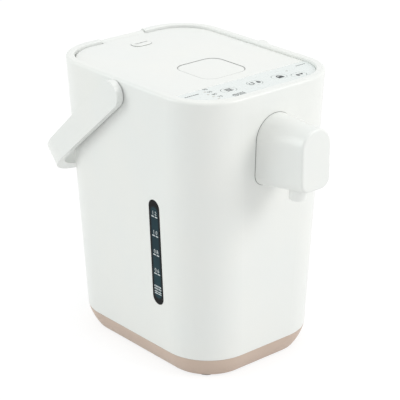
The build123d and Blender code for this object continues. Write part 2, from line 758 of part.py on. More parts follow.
def gauge_joint(spigot_height, socket_end, closed_end, direction):
    """An elbow that carries the gauge tube and leads to a hose."""
    low, high = sorted((socket_end, closed_end))
    seat = socket_end + (joint_socket if closed_end > socket_end else -joint_socket)
    spot = (gauge_tube_x, gauge_y)
    tip = (spot[0] + direction[0] * joint_spigot, spot[1] + direction[1] * joint_spigot, spigot_height)
    with BuildPart() as piece:
        rods([spot], low, high, joint_radius)
        bar((*spot, spigot_height), tip, spigot_radius)
        rods([spot], min(seat, socket_end), max(seat, socket_end), tube_radius + running_fit, Mode.SUBTRACT)
        rods([spot], min(seat, spigot_height), max(seat, spigot_height), spigot_bore, Mode.SUBTRACT)
        bar((*spot, spigot_height), tip, spigot_bore, Mode.SUBTRACT)
    return piece.part


lower_socket = outlet_height + lower_joint
upper_socket = upper_hose_height - upper_joint
with BuildPart() as gauge_joints:
    add(gauge_joint(outlet_height, lower_socket, outlet_height - joint_cap, (1, 0)))
    add(gauge_joint(upper_hose_height, upper_socket, upper_hose_height + joint_cap, (0, -1)))
gauge_joints.part.label = "gauge_joints"
export_step(gauge_joints.part, "parts/gauge_joints.step")

tube_seat = joint_socket - 0.1
tube_low, tube_high = lower_socket - tube_seat, upper_socket + tube_seat
with BuildPart() as gauge_tube:
    rods([(gauge_tube_x, gauge_y)], tube_low, tube_high, tube_radius)
    rods([(gauge_tube_x, gauge_y)], tube_low, tube_high, tube_radius - tube_wall, Mode.SUBTRACT)
gauge_tube.part.label = "gauge_tube"
export_step(gauge_tube.part, "parts/gauge_tube.step")

gauge_center = (-gauge_y, gauge_middle - top_height)
with BuildPart() as gauge_window:
    with BuildSketch(side_face) as pane:
        with Locations(gauge_center):
            SlotOverall(gauge_length - 2 * seat_gap, gauge_width - 2 * seat_gap, rotation=90)
    extrude(pane.sketch, amount=-wall)
    with BuildSketch(side_face.offset(-wall)) as flange:
        with Locations(gauge_center):
            SlotOverall(gauge_length + 2 * gauge_flange, gauge_width + 2 * gauge_flange, rotation=90)
    extrude(flange.sketch, amount=-gauge_flange_thickness)
gauge_window.part.label = "gauge_window"
export_step(gauge_window.part, "parts/gauge_window.step")

with BuildPart() as gauge_channel:
    with BuildSketch(side_face.offset(-wall - gauge_flange_thickness)) as back:
        with Locations(gauge_center):
            SlotOverall(gauge_length + 2 * gauge_flange, gauge_width + 2 * gauge_flange, rotation=90)
    extrude(back.sketch, amount=-channel_depth)
    rods([(gauge_tube_x, gauge_y)], lower_socket - 20, upper_socket + 20, tube_radius + running_fit,
         Mode.SUBTRACT)
    slot_half = tube_radius * 0.8
    block((-top_width, gauge_y - slot_half, 0), (gauge_tube_x, gauge_y + slot_half, top_height),
          Mode.SUBTRACT)
gauge_channel.part.label = "gauge_channel"
export_step(gauge_channel.part, "parts/gauge_channel.step")

hose_turn_y = -half_depth(upper_hose_height, wall + hose_radius + 8.0)
upper_start = (gauge_tube_x, gauge_y - joint_radius - 1, upper_hose_height)
nozzle_spigot_end = nozzle_y + nozzle_radius + 8.0
with BuildLine(Plane.XY.offset(upper_hose_height)) as upper_path:
    FilletPolyline(upper_start[:2], (gauge_tube_x, gauge_y - 28), (gauge_tube_x + 14, hose_turn_y),
                   (0, hose_turn_y), (0, nozzle_y + nozzle_radius + 0.5), radius=upper_bends)
with BuildPart() as upper_hose:
    add(hose(upper_path.wire(), upper_start, (0, -1, 0)))
upper_hose.part.label = "upper_hose"
export_step(upper_hose.part, "parts/upper_hose.step")


# ---- spout ----
def arch(width, bottom, top, corner, inset, plane, drop):
    """Spout section: flat bottom with round corners and a half-round top."""
    half = width / 2 - inset
    low = bottom - drop + inset
    spring = top - drop - width / 2
    round_low = max(corner - inset, 1.0)
    with BuildSketch(plane) as section:
        with BuildLine():
            Line((-half + round_low, low), (half - round_low, low))
            RadiusArc((half - round_low, low), (half, low + round_low), -round_low)
            Line((half, low + round_low), (half, spring))
            RadiusArc((half, spring), (-half, spring), -half)
            Line((-half, spring), (-half, low + round_low))
            RadiusArc((-half, low + round_low), (-half + round_low, low), -round_low)
        make_face()
    return section.sketch


tip_plane = Plane(origin=(0, -spout_reach, 0), x_dir=(1, 0, 0), z_dir=(0, -1, 0))
nozzle_hole = nozzle_radius + 0.3
with BuildPart() as spout_cover:
    loft(sections=[
        arch(spout_width, spout_bottom, spout_top, spout_corner, 0, front_face, top_height),
        arch(spout_tip_width, spout_tip_bottom, spout_tip_top, spout_tip_corner, 0, tip_plane, 0),
    ], ruled=True)
    fillet(spout_cover.faces().sort_by(Axis.Y)[0].edges(), spout_round)
    loft(sections=[
        arch(spout_width, spout_bottom, spout_top, spout_corner, spout_wall, front_face, top_height),
        arch(spout_tip_width, spout_tip_bottom, spout_tip_top, spout_tip_corner, spout_wall,
             tip_plane.offset(-spout_wall), 0),
    ], ruled=True, mode=Mode.SUBTRACT)
    # seat for the nozzle and bosses for the two screws
    rods([(0, nozzle_y)], spout_tip_bottom - 0.5, nozzle_seat, nozzle_hole + 2.2)
    rods([(0, nozzle_y)], spout_bottom, nozzle_seat + 1, nozzle_hole, Mode.SUBTRACT)
    for x, z in spout_screw_spots:
        wall_y = -half_depth(z)
        bar((x, wall_y - spout_boss_length, z), (x, wall_y - 0.15, z), spout_boss_radius)
        bar((x, wall_y - spout_boss_length + 2, z), (x, wall_y, z), screw_radius + snug_fit, Mode.SUBTRACT)
spout_cover.part.label = "spout_cover"
export_step(spout_cover.part, "parts/spout_cover.step")

# the body's equal screws: top frame, clamp ring, pump and spout
with BuildPart() as body_screws:
    add(screws(frame_screw_spots, frame_top - 0.1, frame_under - 9))
    add(screws(lug_spots, flange_under - clamp_ring_height - screw_head_height, frame_under - 3))
    add(screws(pump_post_spots, pump_floor + screw_head_height, motor_top - 7))
    for x, z in spout_screw_spots:
        inner_y = -half_depth(z, wall + 0.15)
        bar((x, inner_y, z), (x, inner_y + screw_head_height, z), screw_head_radius)
        bar((x, inner_y, z), (x, inner_y - wall - 10, z), screw_radius)
body_screws.part.label = "body_screws"
export_step(body_screws.part, "parts/body_screws.step")

nozzle_body_top = upper_hose_height + nozzle_cap
with BuildPart() as outlet_nozzle:
    rods([(0, nozzle_y)], nozzle_tip, nozzle_body_top, nozzle_radius)
    rods([(0, nozzle_y)], nozzle_seat, nozzle_seat + nozzle_collar, nozzle_hole + nozzle_collar_rim)
    nozzle_run = (0, nozzle_y, upper_hose_height), (0, nozzle_spigot_end, upper_hose_height)
    bar(*nozzle_run, spigot_radius)
    rods([(0, nozzle_y)], nozzle_tip, upper_hose_height, nozzle_bore, Mode.SUBTRACT)
    bar(*nozzle_run, spigot_bore, Mode.SUBTRACT)
    tip_edges = outlet_nozzle.edges().filter_by(GeomType.CIRCLE).group_by(Axis.Z)[0]
    fillet(tip_edges.sort_by(SortBy.RADIUS)[-1], small_round)
outlet_nozzle.part.label = "outlet_nozzle"
export_step(outlet_nozzle.part, "parts/outlet_nozzle.step")

# ---- handle ----
droop = radians(handle_droop)
bow_plane = Plane(origin=(0, pivot_y, pivot_z), x_dir=(1, 0, 0), z_dir=(0, sin(droop), cos(droop)))
bow_side = Plane(origin=(0, pivot_y, pivot_z), x_dir=(0, cos(droop), -sin(droop)), z_dir=(1, 0, 0))


def bow_outline(inset_side, inset_end, start):
    """The bow's outline: two arms, elliptical corners and the grip."""
    half = handle_half_width - inset_side
    reach = handle_reach - inset_end
    across, along = corner_across - inset_side, corner_along - inset_end
    with BuildSketch(bow_plane) as face:
        with BuildLine():
            Line((-half, start), (-half, reach - along))
            EllipticalCenterArc((-half + across, reach - along), across, along, start_angle=90, arc_size=90)
            Line((-half + across, reach), (half - across, reach))
            EllipticalCenterArc((half - across, reach - along), across, along, start_angle=0, arc_size=90)
            Line((half, reach - along), (half, start))
            Line((half, start), (-half, start))
        make_face()
    return face.sketch


arm_inner = handle_half_width - arm_thickness
retainer_out = bush_seat - bush_flange - moving_gap
retainer_in = retainer_out - retainer_thickness
with BuildPart() as handle_bow:
    extrude(bow_outline(0, 0, -arm_end_radius), amount=2 * arm_end_radius, both=True)
    extrude(bow_outline(arm_thickness, grip_thickness, -2 * arm_end_radius), amount=3 * arm_end_radius,
            both=True, mode=Mode.SUBTRACT)
    with BuildSketch(bow_side) as side_view:
        Circle(arm_end_radius)
        with BuildLine():
            Polyline((0, -arm_end_radius), (handle_reach + 1, -grip_half_width),
                     (handle_reach + 1, grip_half_width), (0, arm_end_radius), close=True)
        make_face()
    extrude(side_view.sketch, amount=2 * handle_half_width, both=True, mode=Mode.INTERSECT)
    for side in (-1, 1):
        bar((side * (arm_inner + 0.5), pivot_y, pivot_z), (side * retainer_out, pivot_y, pivot_z),
            stud_radius)
        bar((side * arm_inner, pivot_y, pivot_z), (side * retainer_in, pivot_y, pivot_z), stud_tip_radius)
handle_bow.part.label = "handle_bow"
export_step(handle_bow.part, "parts/handle_bow.step")

with BuildPart() as handle_bushes:
    for side in (-1, 1):
        inner = side * (bush_seat - bush_flange)
        bar((inner, pivot_y, pivot_z), (side * bush_seat, pivot_y, pivot_z), retainer_radius)
        bar((inner, pivot_y, pivot_z), (side * (half_width(pivot_z) + 0.3), pivot_y, pivot_z), bush_radius)
    bar((-top_width, pivot_y, pivot_z), (top_width, pivot_y, pivot_z), stud_radius + running_fit,
        Mode.SUBTRACT)
handle_bushes.part.label = "handle_bushes"
export_step(handle_bushes.part, "parts/handle_bushes.step")

with BuildPart() as handle_retainers:
    for side in (-1, 1):
        bar((side * retainer_in, pivot_y, pivot_z), (side * retainer_out, pivot_y, pivot_z), retainer_radius)
    bar((-top_width, pivot_y, pivot_z), (top_width, pivot_y, pivot_z), stud_tip_radius + snug_fit,
        Mode.SUBTRACT)
handle_retainers.part.label = "handle_retainers"
export_step(handle_retainers.part, "parts/handle_retainers.step")

# ---- lid ----
button_hole = button_size + 2 * moving_gap
button_flange = 1.5
tail_half = hinge_notch - lid_gap
screw_lid_spots = [
    (sx * (side_edge - 17.0), y) for sx in (-1, 1) for y in (lid_front + 16.0, vent_y)
]
lid_boss_radius = 3.6
# the rear is drawn in, so that its round corners pass the rim as the lid opens
lid_rear_cut = half_depth(lid_top, lid_inset) - lid_back
with BuildPart() as lid_cover:
    add(slab(lid_split, lid_top, lid_inset, lid_front, rear_cut=lid_rear_cut))
    fillet(lid_cover.faces().sort_by(Axis.Z)[-1].edges(), small_round)
    add(slab(lid_split - 1, lid_top - lid_skin, lid_inset + lid_skin, lid_front + lid_skin,
             rear_cut=lid_rear_cut), mode=Mode.SUBTRACT)
    rods(screw_lid_spots, lid_split, lid_top - lid_skin, lid_boss_radius)
    rods(screw_lid_spots, lid_split, lid_top - lid_skin - 0.5, screw_radius + snug_fit, Mode.SUBTRACT)
    # hinge tail with its knuckle
    with BuildSketch(Plane.YZ) as tail:
        with BuildLine():
            Polyline(
                (lid_back - lid_skin, lid_top - lid_skin), (lid_back - lid_skin, lid_top),
                (hinge_y - knuckle_radius - 0.4, lid_top), (hinge_y, hinge_z + knuckle_radius),
                (hinge_y, hinge_z), (hinge_y - knuckle_radius, lid_top - lid_skin), close=True,
            )
        make_face()
        with Locations((hinge_y, hinge_z)):
            Circle(knuckle_radius)
    extrude(tail.sketch, amount=tail_half, both=True)
    bar((-tail_half, hinge_y, hinge_z), (tail_half, hinge_y, hinge_z), hinge_pin_radius + running_fit,
        Mode.SUBTRACT)
    # hole for the button and for the steam cap
    with BuildSketch(Plane.XY.offset(lid_top)) as holes:
        with Locations((0, button_y)):
            RectangleRounded(button_hole, button_hole, button_corner + moving_gap)
        with Locations((0, vent_y)):
            SlotOverall(vent_length - 2 * vent_lip, vent_width - 2 * vent_lip)
    extrude(holes.sketch, amount=-lid_skin - 1, mode=Mode.SUBTRACT)
lid_cover.part.label = "lid_cover"
export_step(lid_cover.part, "parts/lid_cover.step")

tray_floor = lid_bottom + lid_skin
bowl_floor = plug_bottom + plug_wall
spring_seat = tray_floor + 0.2
duct_y = vent_y - 12.0
latch_low = tray_floor + 2.2
latch_high = latch_low + latch_thickness
body_front = lid_front + 1.3
guide_spots = [-8.0, 8.0]
with BuildPart() as lid_body:
    add(slab(lid_bottom, lid_split, lid_inset, body_front, rear_cut=lid_rear_cut))
    add(slab(tray_floor, lid_split + 1, lid_inset + lid_skin, body_front + lid_skin,
             rear_cut=lid_rear_cut), mode=Mode.SUBTRACT)
    # plug that reaches into the mouth
    with BuildSketch(mouth_plane) as plug:
        with BuildLine():
            Polyline((0, plug_bottom), (plug_bottom_radius, plug_bottom), (plug_top_radius, lid_bottom),
                     (plug_top_radius, tray_floor), (0, tray_floor), close=True)
        make_face()
    revolve(axis=mouth_axis)
    with BuildSketch(mouth_plane) as bowl:
        with BuildLine():
            Polyline((0, bowl_floor), (plug_bottom_radius - plug_wall, bowl_floor),
                     (plug_top_radius - plug_wall, lid_bottom), (plug_top_radius - plug_wall, lid_split),
                     (0, lid_split), close=True)
        make_face()
    revolve(axis=mouth_axis, mode=Mode.SUBTRACT)
    rods([(0, button_y)], bowl_floor, spring_seat, spring_radius + 1.5)
    rods(screw_lid_spots, lid_bottom, lid_split, lid_boss_radius)
    for x in guide_spots:
        block((x - 1, body_front + lid_skin - 0.5, lid_bottom),
              (x + 1, button_y - button_size / 4, latch_low - 0.3))
    rods(screw_lid_spots, lid_bottom - 1, lid_split + 1, screw_radius + seat_gap, Mode.SUBTRACT)
    rods(screw_lid_spots, lid_bottom - 1, lid_bottom + screw_head_height + 0.1, screw_head_radius + seat_gap,
         Mode.SUBTRACT)
    rods([(0, duct_y)], plug_bottom - 1, bowl_floor + 1, ball_hole, Mode.SUBTRACT)
    rods([(0, mouth_y)], plug_bottom - 1, bowl_floor + 1, screw_radius + snug_fit, Mode.SUBTRACT)
    # slot for the latch
    block((-latch_width / 2 - 0.3, body_front - 1, latch_low - 0.3),
          (latch_width / 2 + 0.3, body_front + lid_skin + 1, latch_high + 0.3), Mode.SUBTRACT)
lid_body.part.label = "lid_body"
export_step(lid_body.part, "parts/lid_body.step")

with BuildPart() as lid_screws:
    add(screws(screw_lid_spots, lid_bottom + 0.1, lid_split + 6))
lid_screws.part.label = "lid_screws"
export_step(lid_screws.part, "parts/lid_screws.step")

with BuildPart() as lid_gasket:
    add(ring(plug_top_radius + snug_fit, gasket_outer, frame_top - 1.4, lid_bottom))
lid_gasket.part.label = "lid_gasket"
export_step(lid_gasket.part, "parts/lid_gasket.step")

plate_thickness = 1.0
with BuildPart() as inner_lid_plate:
    add(ring(0, plug_bottom_radius - 0.5, plug_bottom - plate_thickness, plug_bottom))
    rods([(0, duct_y)], plug_bottom - plate_thickness, plug_bottom, ball_hole, Mode.SUBTRACT)
    rods([(0, mouth_y)], plug_bottom - plate_thickness, plug_bottom, screw_radius + seat_gap, Mode.SUBTRACT)
inner_lid_plate.part.label = "inner_lid_plate"
export_step(inner_lid_plate.part, "parts/inner_lid_plate.step")

with BuildPart() as plate_screw:
    add(screws([(0, mouth_y)], plug_bottom - plate_thickness - screw_head_height, bowl_floor + 1, head=5.0))
plate_screw.part.label = "plate_screw"
export_step(plate_screw.part, "parts/plate_screw.step")

# steam duct: a cage for the ball, then a chamber up to the vent
duct_wall = 1.4
duct_top = lid_top - lid_skin
cage_top = lid_split + 1.0
with BuildPart() as steam_duct:
    rods([(0, duct_y)], bowl_floor, cage_top + 1, ball_radius + ball_play + duct_wall)
    block((-duct_half, duct_y - duct_front, cage_top), (duct_half, vent_y + duct_rear, duct_top))
    block((-duct_half + duct_wall, duct_y - duct_front + duct_wall, cage_top + duct_wall),
          (duct_half - duct_wall, vent_y + duct_rear - duct_wall, duct_top - duct_wall), Mode.SUBTRACT)
    rods([(0, duct_y)], bowl_floor, cage_top + duct_wall + 0.5, ball_radius + ball_play, Mode.SUBTRACT)
    rods([(0, vent_y)], duct_top - duct_wall - 0.5, duct_top, duct_outlet, Mode.SUBTRACT)
steam_duct.part.label = "steam_duct"
export_step(steam_duct.part, "parts/steam_duct.step")

ball_seat = sqrt(ball_radius**2 - ball_hole**2)
with BuildPart() as safety_ball:
    with Locations((0, duct_y, bowl_floor + ball_seat + ball_play)):
        Sphere(ball_radius)
safety_ball.part.label = "safety_ball"
export_step(safety_ball.part, "parts/safety_ball.step")

with BuildPart() as steam_cap:
    with BuildSketch(Plane.XY.offset(lid_top)) as cap:
        with Locations((0, vent_y)):
            SlotOverall(vent_length, vent_width)
    extrude(cap.sketch, amount=vent_rise)
    fillet(steam_cap.faces().sort_by(Axis.Z)[-1].edges(), small_round)
    with BuildSketch(Plane.XY.offset(duct_top)) as stem:
        with Locations((0, vent_y)):
            stem_inset = 2 * (vent_lip + seat_gap)
            SlotOverall(vent_length - stem_inset, vent_width - stem_inset)
    extrude(stem.sketch, amount=lid_skin)
    with BuildSketch(Plane.XY.offset(lid_top + vent_rise)) as slot:
        with Locations((0, vent_y)):
            SlotOverall(*vent_slot)
    extrude(slot.sketch, amount=-lid_skin - vent_rise, mode=Mode.SUBTRACT)
steam_cap.part.label = "steam_cap"
export_step(steam_cap.part, "parts/steam_cap.step")

with BuildPart() as hinge_pin:
    bar((-pin_end, hinge_y, hinge_z), (pin_end, hinge_y, hinge_z), hinge_pin_radius)
hinge_pin.part.label = "hinge_pin"
export_step(hinge_pin.part, "parts/hinge_pin.step")

# ---- lid button, its spring and the latch ----
button_top = lid_top - 0.15
button_under = button_top - button_thickness
cam_half = 3.0
cam_setback = 17.0        # cam in front of the button's middle
cam_back = 3.5
latch_heel = 8.0          # bolt behind the cam
latch_reach = 0.9         # bolt's nose in front of the lid
cam_y = button_y - cam_setback
cam_gap = 0.45
cam_low = latch_high + button_travel + moving_gap
stop_top = duct_top - 0.3
stop_thickness = 1.2
stop_low = stop_top - stop_thickness
latch_rise = stop_low - button_travel - moving_gap - latch_high
with BuildPart() as lid_button:
    with BuildSketch(Plane.XY.offset(button_under)) as plate:
        with Locations((0, button_y)):
            RectangleRounded(button_size, button_size, button_corner)
    extrude(plate.sketch, amount=button_thickness)
    fillet(lid_button.faces().sort_by(Axis.Z)[-1].edges(), small_round)
    with BuildSketch(Plane.XY.offset(stop_low)) as stop:
        with Locations((0, button_y)):
            RectangleRounded(button_size + 2 * button_flange, button_size + 2 * button_flange,
                             button_corner + button_flange)
    extrude(stop.sketch, amount=stop_thickness)
    with BuildSketch(Plane.YZ) as cam:
        with BuildLine():
            Polyline(
                (cam_y + cam_low - latch_high - cam_gap, cam_low),
                (cam_y + stop_low - latch_high - cam_gap, stop_low),
                (cam_y - cam_back, stop_low), (cam_y - cam_back, cam_low), close=True,
            )
        make_face()
    extrude(cam.sketch, amount=cam_half, both=True)
lid_button.part.label = "lid_button"
export_step(lid_button.part, "parts/lid_button.step")

spring_top = stop_low
coil_height = spring_top - spring_seat - spring_wire * 2
with BuildPart() as button_spring:
    with BuildLine(Plane.XY.offset(spring_seat + spring_wire)) as coil:
        Helix(pitch=coil_height / spring_turns, height=coil_height, radius=spring_radius,
              center=(0, button_y, 0))
    with BuildSketch(Plane(origin=coil.edge() @ 0, z_dir=coil.edge() % 0)) as wire:
        Circle(spring_wire)
    sweep(sections=wire.sketch, path=coil.wire())
button_spring.part.label = "button_spring"
export_step(button_spring.part, "parts/button_spring.step")

with BuildPart() as latch_bolt:
    block((-latch_width / 2, lid_front - latch_reach, latch_low),
          (latch_width / 2, cam_y + latch_heel, latch_high))
    nose = latch_bolt.edges().filter_by(Axis.X).group_by(Axis.Y)[0].sort_by(Axis.Z)[-1]
    chamfer(nose, 1.0)
    with BuildSketch(Plane.YZ) as ramp:
        with BuildLine():
            Polyline((cam_y, latch_high), (cam_y + latch_rise, latch_high + latch_rise),
                     (cam_y + latch_heel, latch_high + latch_rise), (cam_y + latch_heel, latch_high),
                     close=True)
        make_face()
    extrude(ramp.sketch, amount=cam_half, both=True)
latch_bolt.part.label = "latch_bolt"
export_step(latch_bolt.part, "parts/latch_bolt.step")

# ---- control panel, keys and board ----
with BuildPart() as control_panel:
    add(slab(panel_under, lid_top, rim_width + 0.3, back=panel_back))
    fillet(control_panel.faces().sort_by(Axis.Z)[-1].edges(), 0.4)
    with BuildSketch(Plane.XY.offset(lid_top)) as key_holes:
        with Locations(*key_spots.values()):
            SlotOverall(key_length + 2 * moving_gap, key_width + 2 * moving_gap)
    extrude(key_holes.sketch, amount=-panel_thickness, mode=Mode.SUBTRACT)
    rods(lamp_spots, panel_under, lid_top, lamp_radius + snug_fit, Mode.SUBTRACT)
control_panel.part.label = "control_panel"
export_step(control_panel.part, "parts/control_panel.step")

switch_top = board_top + 3.2
key_stem_low = switch_top + key_travel + 0.3
key_low = panel_under - key_drop
for name, spot in key_spots.items():
    with BuildPart() as key:
        with BuildSketch(Plane.XY.offset(key_low)) as key_flange:
            with Locations(spot):
                SlotOverall(key_length + 2 * key_rim, key_width + 2 * key_rim)
        extrude(key_flange.sketch, amount=key_flange_thickness)
        with BuildSketch(Plane.XY.offset(key_low)) as cap:
            with Locations(spot):
                SlotOverall(key_length, key_width)
        extrude(cap.sketch, amount=lid_top + key_stand - key_low)
        fillet(key.faces().sort_by(Axis.Z)[-1].edges(), small_round / 2)
        rods([spot], key_stem_low, key_low, key_stem_radius)
    key.part.label = name
    export_step(key.part, f"parts/{name}.step")

with BuildPart() as indicator_lamps:
    rods(lamp_spots, board_top, lid_top + 0.05, lamp_radius)
indicator_lamps.part.label = "indicator_lamps"
export_step(indicator_lamps.part, "parts/indicator_lamps.step")

with BuildPart() as control_board:
    block((-board_reach, board_front, board_under), (board_reach, panel_back - 4.5, board_top))
    rods(board_screw_spots, board_under, board_top, board_screw_radius + seat_gap, Mode.SUBTRACT)
control_board.part.label = "control_board"
export_step(control_board.part, "parts/control_board.step")

with BuildPart() as key_switches:
    half = switch_size / 2
    for x, y in key_spots.values():
        block((x - half, y - half, board_top), (x + half, y + half, board_top + 2.4))
        rods([(x, y)], board_top + 2, switch_top, 1.5)
key_switches.part.label = "key_switches"
export_step(key_switches.part, "parts/key_switches.step")

# ---- power board and plug socket ----
board_x, board_y = power_board_center
board_w, board_d = power_board_size
power_top = power_board_height + board_thickness
with BuildPart() as power_board:
    block((board_x - board_w / 2, board_y - board_d / 2, power_board_height),
          (board_x + board_w / 2, board_y + board_d / 2, power_top))
    rods(board_post_spots, power_board_height, power_top, board_screw_radius + seat_gap, Mode.SUBTRACT)
power_board.part.label = "power_board"
export_step(power_board.part, "parts/power_board.step")

with BuildPart() as board_components:
    block((board_x - 14, board_y + 8, power_top), (board_x + 8, board_y + 26, power_top + 11))
    block((board_x - 14, board_y - 16, power_top), (board_x - 1, board_y - 2, power_top + 9))
    rods([(board_x + 10, board_y - 14)], power_top, power_top + 12, 5.0)
    rods([(board_x + 12, board_y - 1)], power_top, power_top + 9, 3.5)
board_components.part.label = "board_components"
export_step(board_components.part, "parts/board_components.step")

# the small screws of both boards
with BuildPart() as board_screws:
    add(screws(board_screw_spots, board_top + screw_head_height, board_under - 6, board_screw_radius,
               board_screw_head))
    add(screws(board_post_spots, power_top + screw_head_height, power_board_height - 5, board_screw_radius,
               board_screw_head))
board_screws.part.label = "board_screws"
export_step(board_screws.part, "parts/board_screws.step")

socket_front = socket_back - socket_depth
recess_floor = socket_front + socket_floor
with BuildPart() as plug_socket:
    block((-socket_half_width + seat_gap, socket_front + seat_gap, socket_bottom + seat_gap),
          (socket_half_width - seat_gap, socket_back, socket_top - seat_gap))
    fillet(plug_socket.edges().filter_by(Axis.Y), 1.5)
    block((-socket_half_width + socket_wall, recess_floor, socket_bottom + socket_wall),
          (socket_half_width - socket_wall, socket_back + 1, socket_top - socket_wall), Mode.SUBTRACT)
plug_socket.part.label = "plug_socket"
export_step(plug_socket.part, "parts/plug_socket.step")

socket_middle = (socket_bottom + socket_top) / 2
with BuildPart() as socket_pins:
    for x in (-pin_spot, pin_spot):
        bar((x, recess_floor, socket_middle), (x, recess_floor + pin_length, socket_middle), pin_radius)
socket_pins.part.label = "socket_pins"
export_step(socket_pins.part, "parts/socket_pins.step")

with BuildPart() as socket_magnets:
    for x in (-magnet_spot, magnet_spot):
        block((x - magnet_half, recess_floor, socket_middle - magnet_half),
              (x + magnet_half, recess_floor + magnet_thickness, socket_middle + magnet_half))
socket_magnets.part.label = "socket_magnets"
export_step(socket_magnets.part, "parts/socket_magnets.step")
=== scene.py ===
# %% [markdown]
# # An electric thermo pot
#
# The pot is a tapered white housing with a beige base band, a lid with one large button, a strip of
# keys, a spout, a bail handle and a dark water gauge on its side. Its solids come ready made from
# the frame. This lesson dresses them: a camera and soft light, a moulded finish for each material,
# and the small prints and seams that make a plain form read as a real appliance.
#
# Lengths on the pot are written in millimetres and multiplied by MM, because Blender's unit is the
# metre. The lamps and the floor belong to the room, and their sizes and places stay in metres.

import json
import math

import bpy
from mathutils import Matrix, Vector


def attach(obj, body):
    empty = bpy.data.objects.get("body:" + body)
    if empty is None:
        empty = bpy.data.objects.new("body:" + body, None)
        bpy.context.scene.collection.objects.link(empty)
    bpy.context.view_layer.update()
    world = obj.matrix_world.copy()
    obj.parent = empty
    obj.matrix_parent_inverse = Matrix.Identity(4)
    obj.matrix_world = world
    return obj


MM = 0.001
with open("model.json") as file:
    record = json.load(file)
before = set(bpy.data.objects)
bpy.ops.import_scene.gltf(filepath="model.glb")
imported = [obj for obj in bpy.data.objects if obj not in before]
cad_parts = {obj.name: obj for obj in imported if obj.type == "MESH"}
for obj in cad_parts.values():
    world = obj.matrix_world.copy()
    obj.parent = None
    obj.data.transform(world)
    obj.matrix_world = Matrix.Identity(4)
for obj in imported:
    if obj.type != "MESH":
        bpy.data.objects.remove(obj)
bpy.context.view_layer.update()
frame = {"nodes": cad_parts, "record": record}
nodes = frame["nodes"]

# %% [markdown]
# ## Camera
#
# The pot is seen through a long lens from the front left, a little above the lid. A camera could be
# aimed with a tracking constraint, but then its roll is lost. Its three axes are worked out here
# from azimuth, elevation and roll, and go straight into its matrix. The lens is so long that the
# upright edges stay nearly parallel.

# %% Place the camera
CAMERA_PLACE = Vector((-773.92, -911.78, 613.62)) * MM
AZIMUTH, ELEVATION, ROLL = (math.radians(angle) for angle in (-39.904, 22.608, -0.506))
PICTURE_SIZE = 400.0
FOCAL_PIXELS = 1598.23
AXIS_PIXEL = (183.585, 200.357)
SENSOR = 36.0


def camera_axes(azimuth, elevation, roll):
    """Right, up and back directions of a camera."""
    level = Vector((math.cos(azimuth), math.sin(azimuth), 0))
    back = Vector((
        math.sin(azimuth) * math.cos(elevation),
        -math.cos(azimuth) * math.cos(elevation),
        math.sin(elevation),
    ))
    upright = back.cross(level)
    right = level * math.cos(roll) + upright * math.sin(roll)
    return right, back.cross(right), back


right, up, back = camera_axes(AZIMUTH, ELEVATION, ROLL)
lens = bpy.data.cameras.new("camera")
lens.sensor_width = SENSOR
lens.lens = FOCAL_PIXELS / PICTURE_SIZE * SENSOR
lens.shift_x = (PICTURE_SIZE / 2 - AXIS_PIXEL[0]) / PICTURE_SIZE
lens.shift_y = (AXIS_PIXEL[1] - PICTURE_SIZE / 2) / PICTURE_SIZE
camera = bpy.data.objects.new("camera", lens)
camera.matrix_world = Matrix.Translation(CAMERA_PLACE) @ Matrix((right, up, back)).transposed().to_4x4()
bpy.context.scene.collection.objects.link(camera)
bpy.context.scene.camera = camera
print("lens:", round(lens.lens, 2), "mm, shift:", round(lens.shift_x, 4), round(lens.shift_y, 4))

# %% [markdown]
# ## Colours
#
# Colours are written the way a paint program shows them, from 0 to 255, but shaders add up light,
# so they need linear values. One short function turns the first into the second.


# %% Colour helper
def tint(red, green, blue):
    """A shader colour from paint-program values."""
    def linear(value):
        """Undoes the sRGB curve of a screen."""
        value /= 255
        return value / 12.92 if value <= 0.04045 else ((value + 0.055) / 1.055) ** 2.4

    return (linear(red), linear(green), linear(blue), 1.0)


print("paint 240 is linear", round(tint(240, 240, 240)[0], 3))

# %% [markdown]
# ## Light and floor
#
# White plastic shows its shape only if one side gets a little less light than the next. An even
# world gives most of the light, a large soft lamp at the front right lifts the front and the lid,
# a cooler one from the rear left keeps the gauge side from going grey, and a weak one high above
# adds a little on the lid. The round corner between front and gauge side faces neither of the first
# two, so it stays the darkest part. The floor shows itself nearly white to the camera and to
# reflections, but it still takes a soft shadow from the pot.

# %% World
WORLD_LIGHT = 0.68
WORLD_COLOUR = (0.985, 1.0, 0.995, 1.0)
BACKDROP_WHITE = (1.0, 1.0, 1.0, 1.0)
world = bpy.data.worlds.new("world")
world.use_nodes = True
bpy.context.scene.world = world
tree = world.node_tree
tree.nodes.clear()


def seen_rays(tree):
    """A socket that is 1 for camera, glossy and transmission rays."""
    path = tree.nodes.new("ShaderNodeLightPath")
    seen = path.outputs["Is Camera Ray"]
    for kind in ("Is Glossy Ray", "Is Transmission Ray"):
        either = tree.nodes.new("ShaderNodeMath")
        either.operation = "MAXIMUM"
        tree.links.new(seen, either.inputs[0])
        tree.links.new(path.outputs[kind], either.inputs[1])
        seen = either.outputs[0]
    return seen


lighting = tree.nodes.new("ShaderNodeBackground")
lighting.inputs["Color"].default_value = WORLD_COLOUR
lighting.inputs["Strength"].default_value = WORLD_LIGHT
backdrop = tree.nodes.new("ShaderNodeBackground")
backdrop.inputs["Color"].default_value = BACKDROP_WHITE
world_mix = tree.nodes.new("ShaderNodeMixShader")
world_out = tree.nodes.new("ShaderNodeOutputWorld")
tree.links.new(seen_rays(tree), world_mix.inputs["Fac"])
tree.links.new(lighting.outputs[0], world_mix.inputs[1])
tree.links.new(backdrop.outputs[0], world_mix.inputs[2])
tree.links.new(world_mix.outputs[0], world_out.inputs["Surface"])
bpy.context.scene.view_settings.view_transform = "Standard"
print("world light:", WORLD_LIGHT)

# %% Lamps
LAMP_AIM = Vector((0, 0, 0.12))


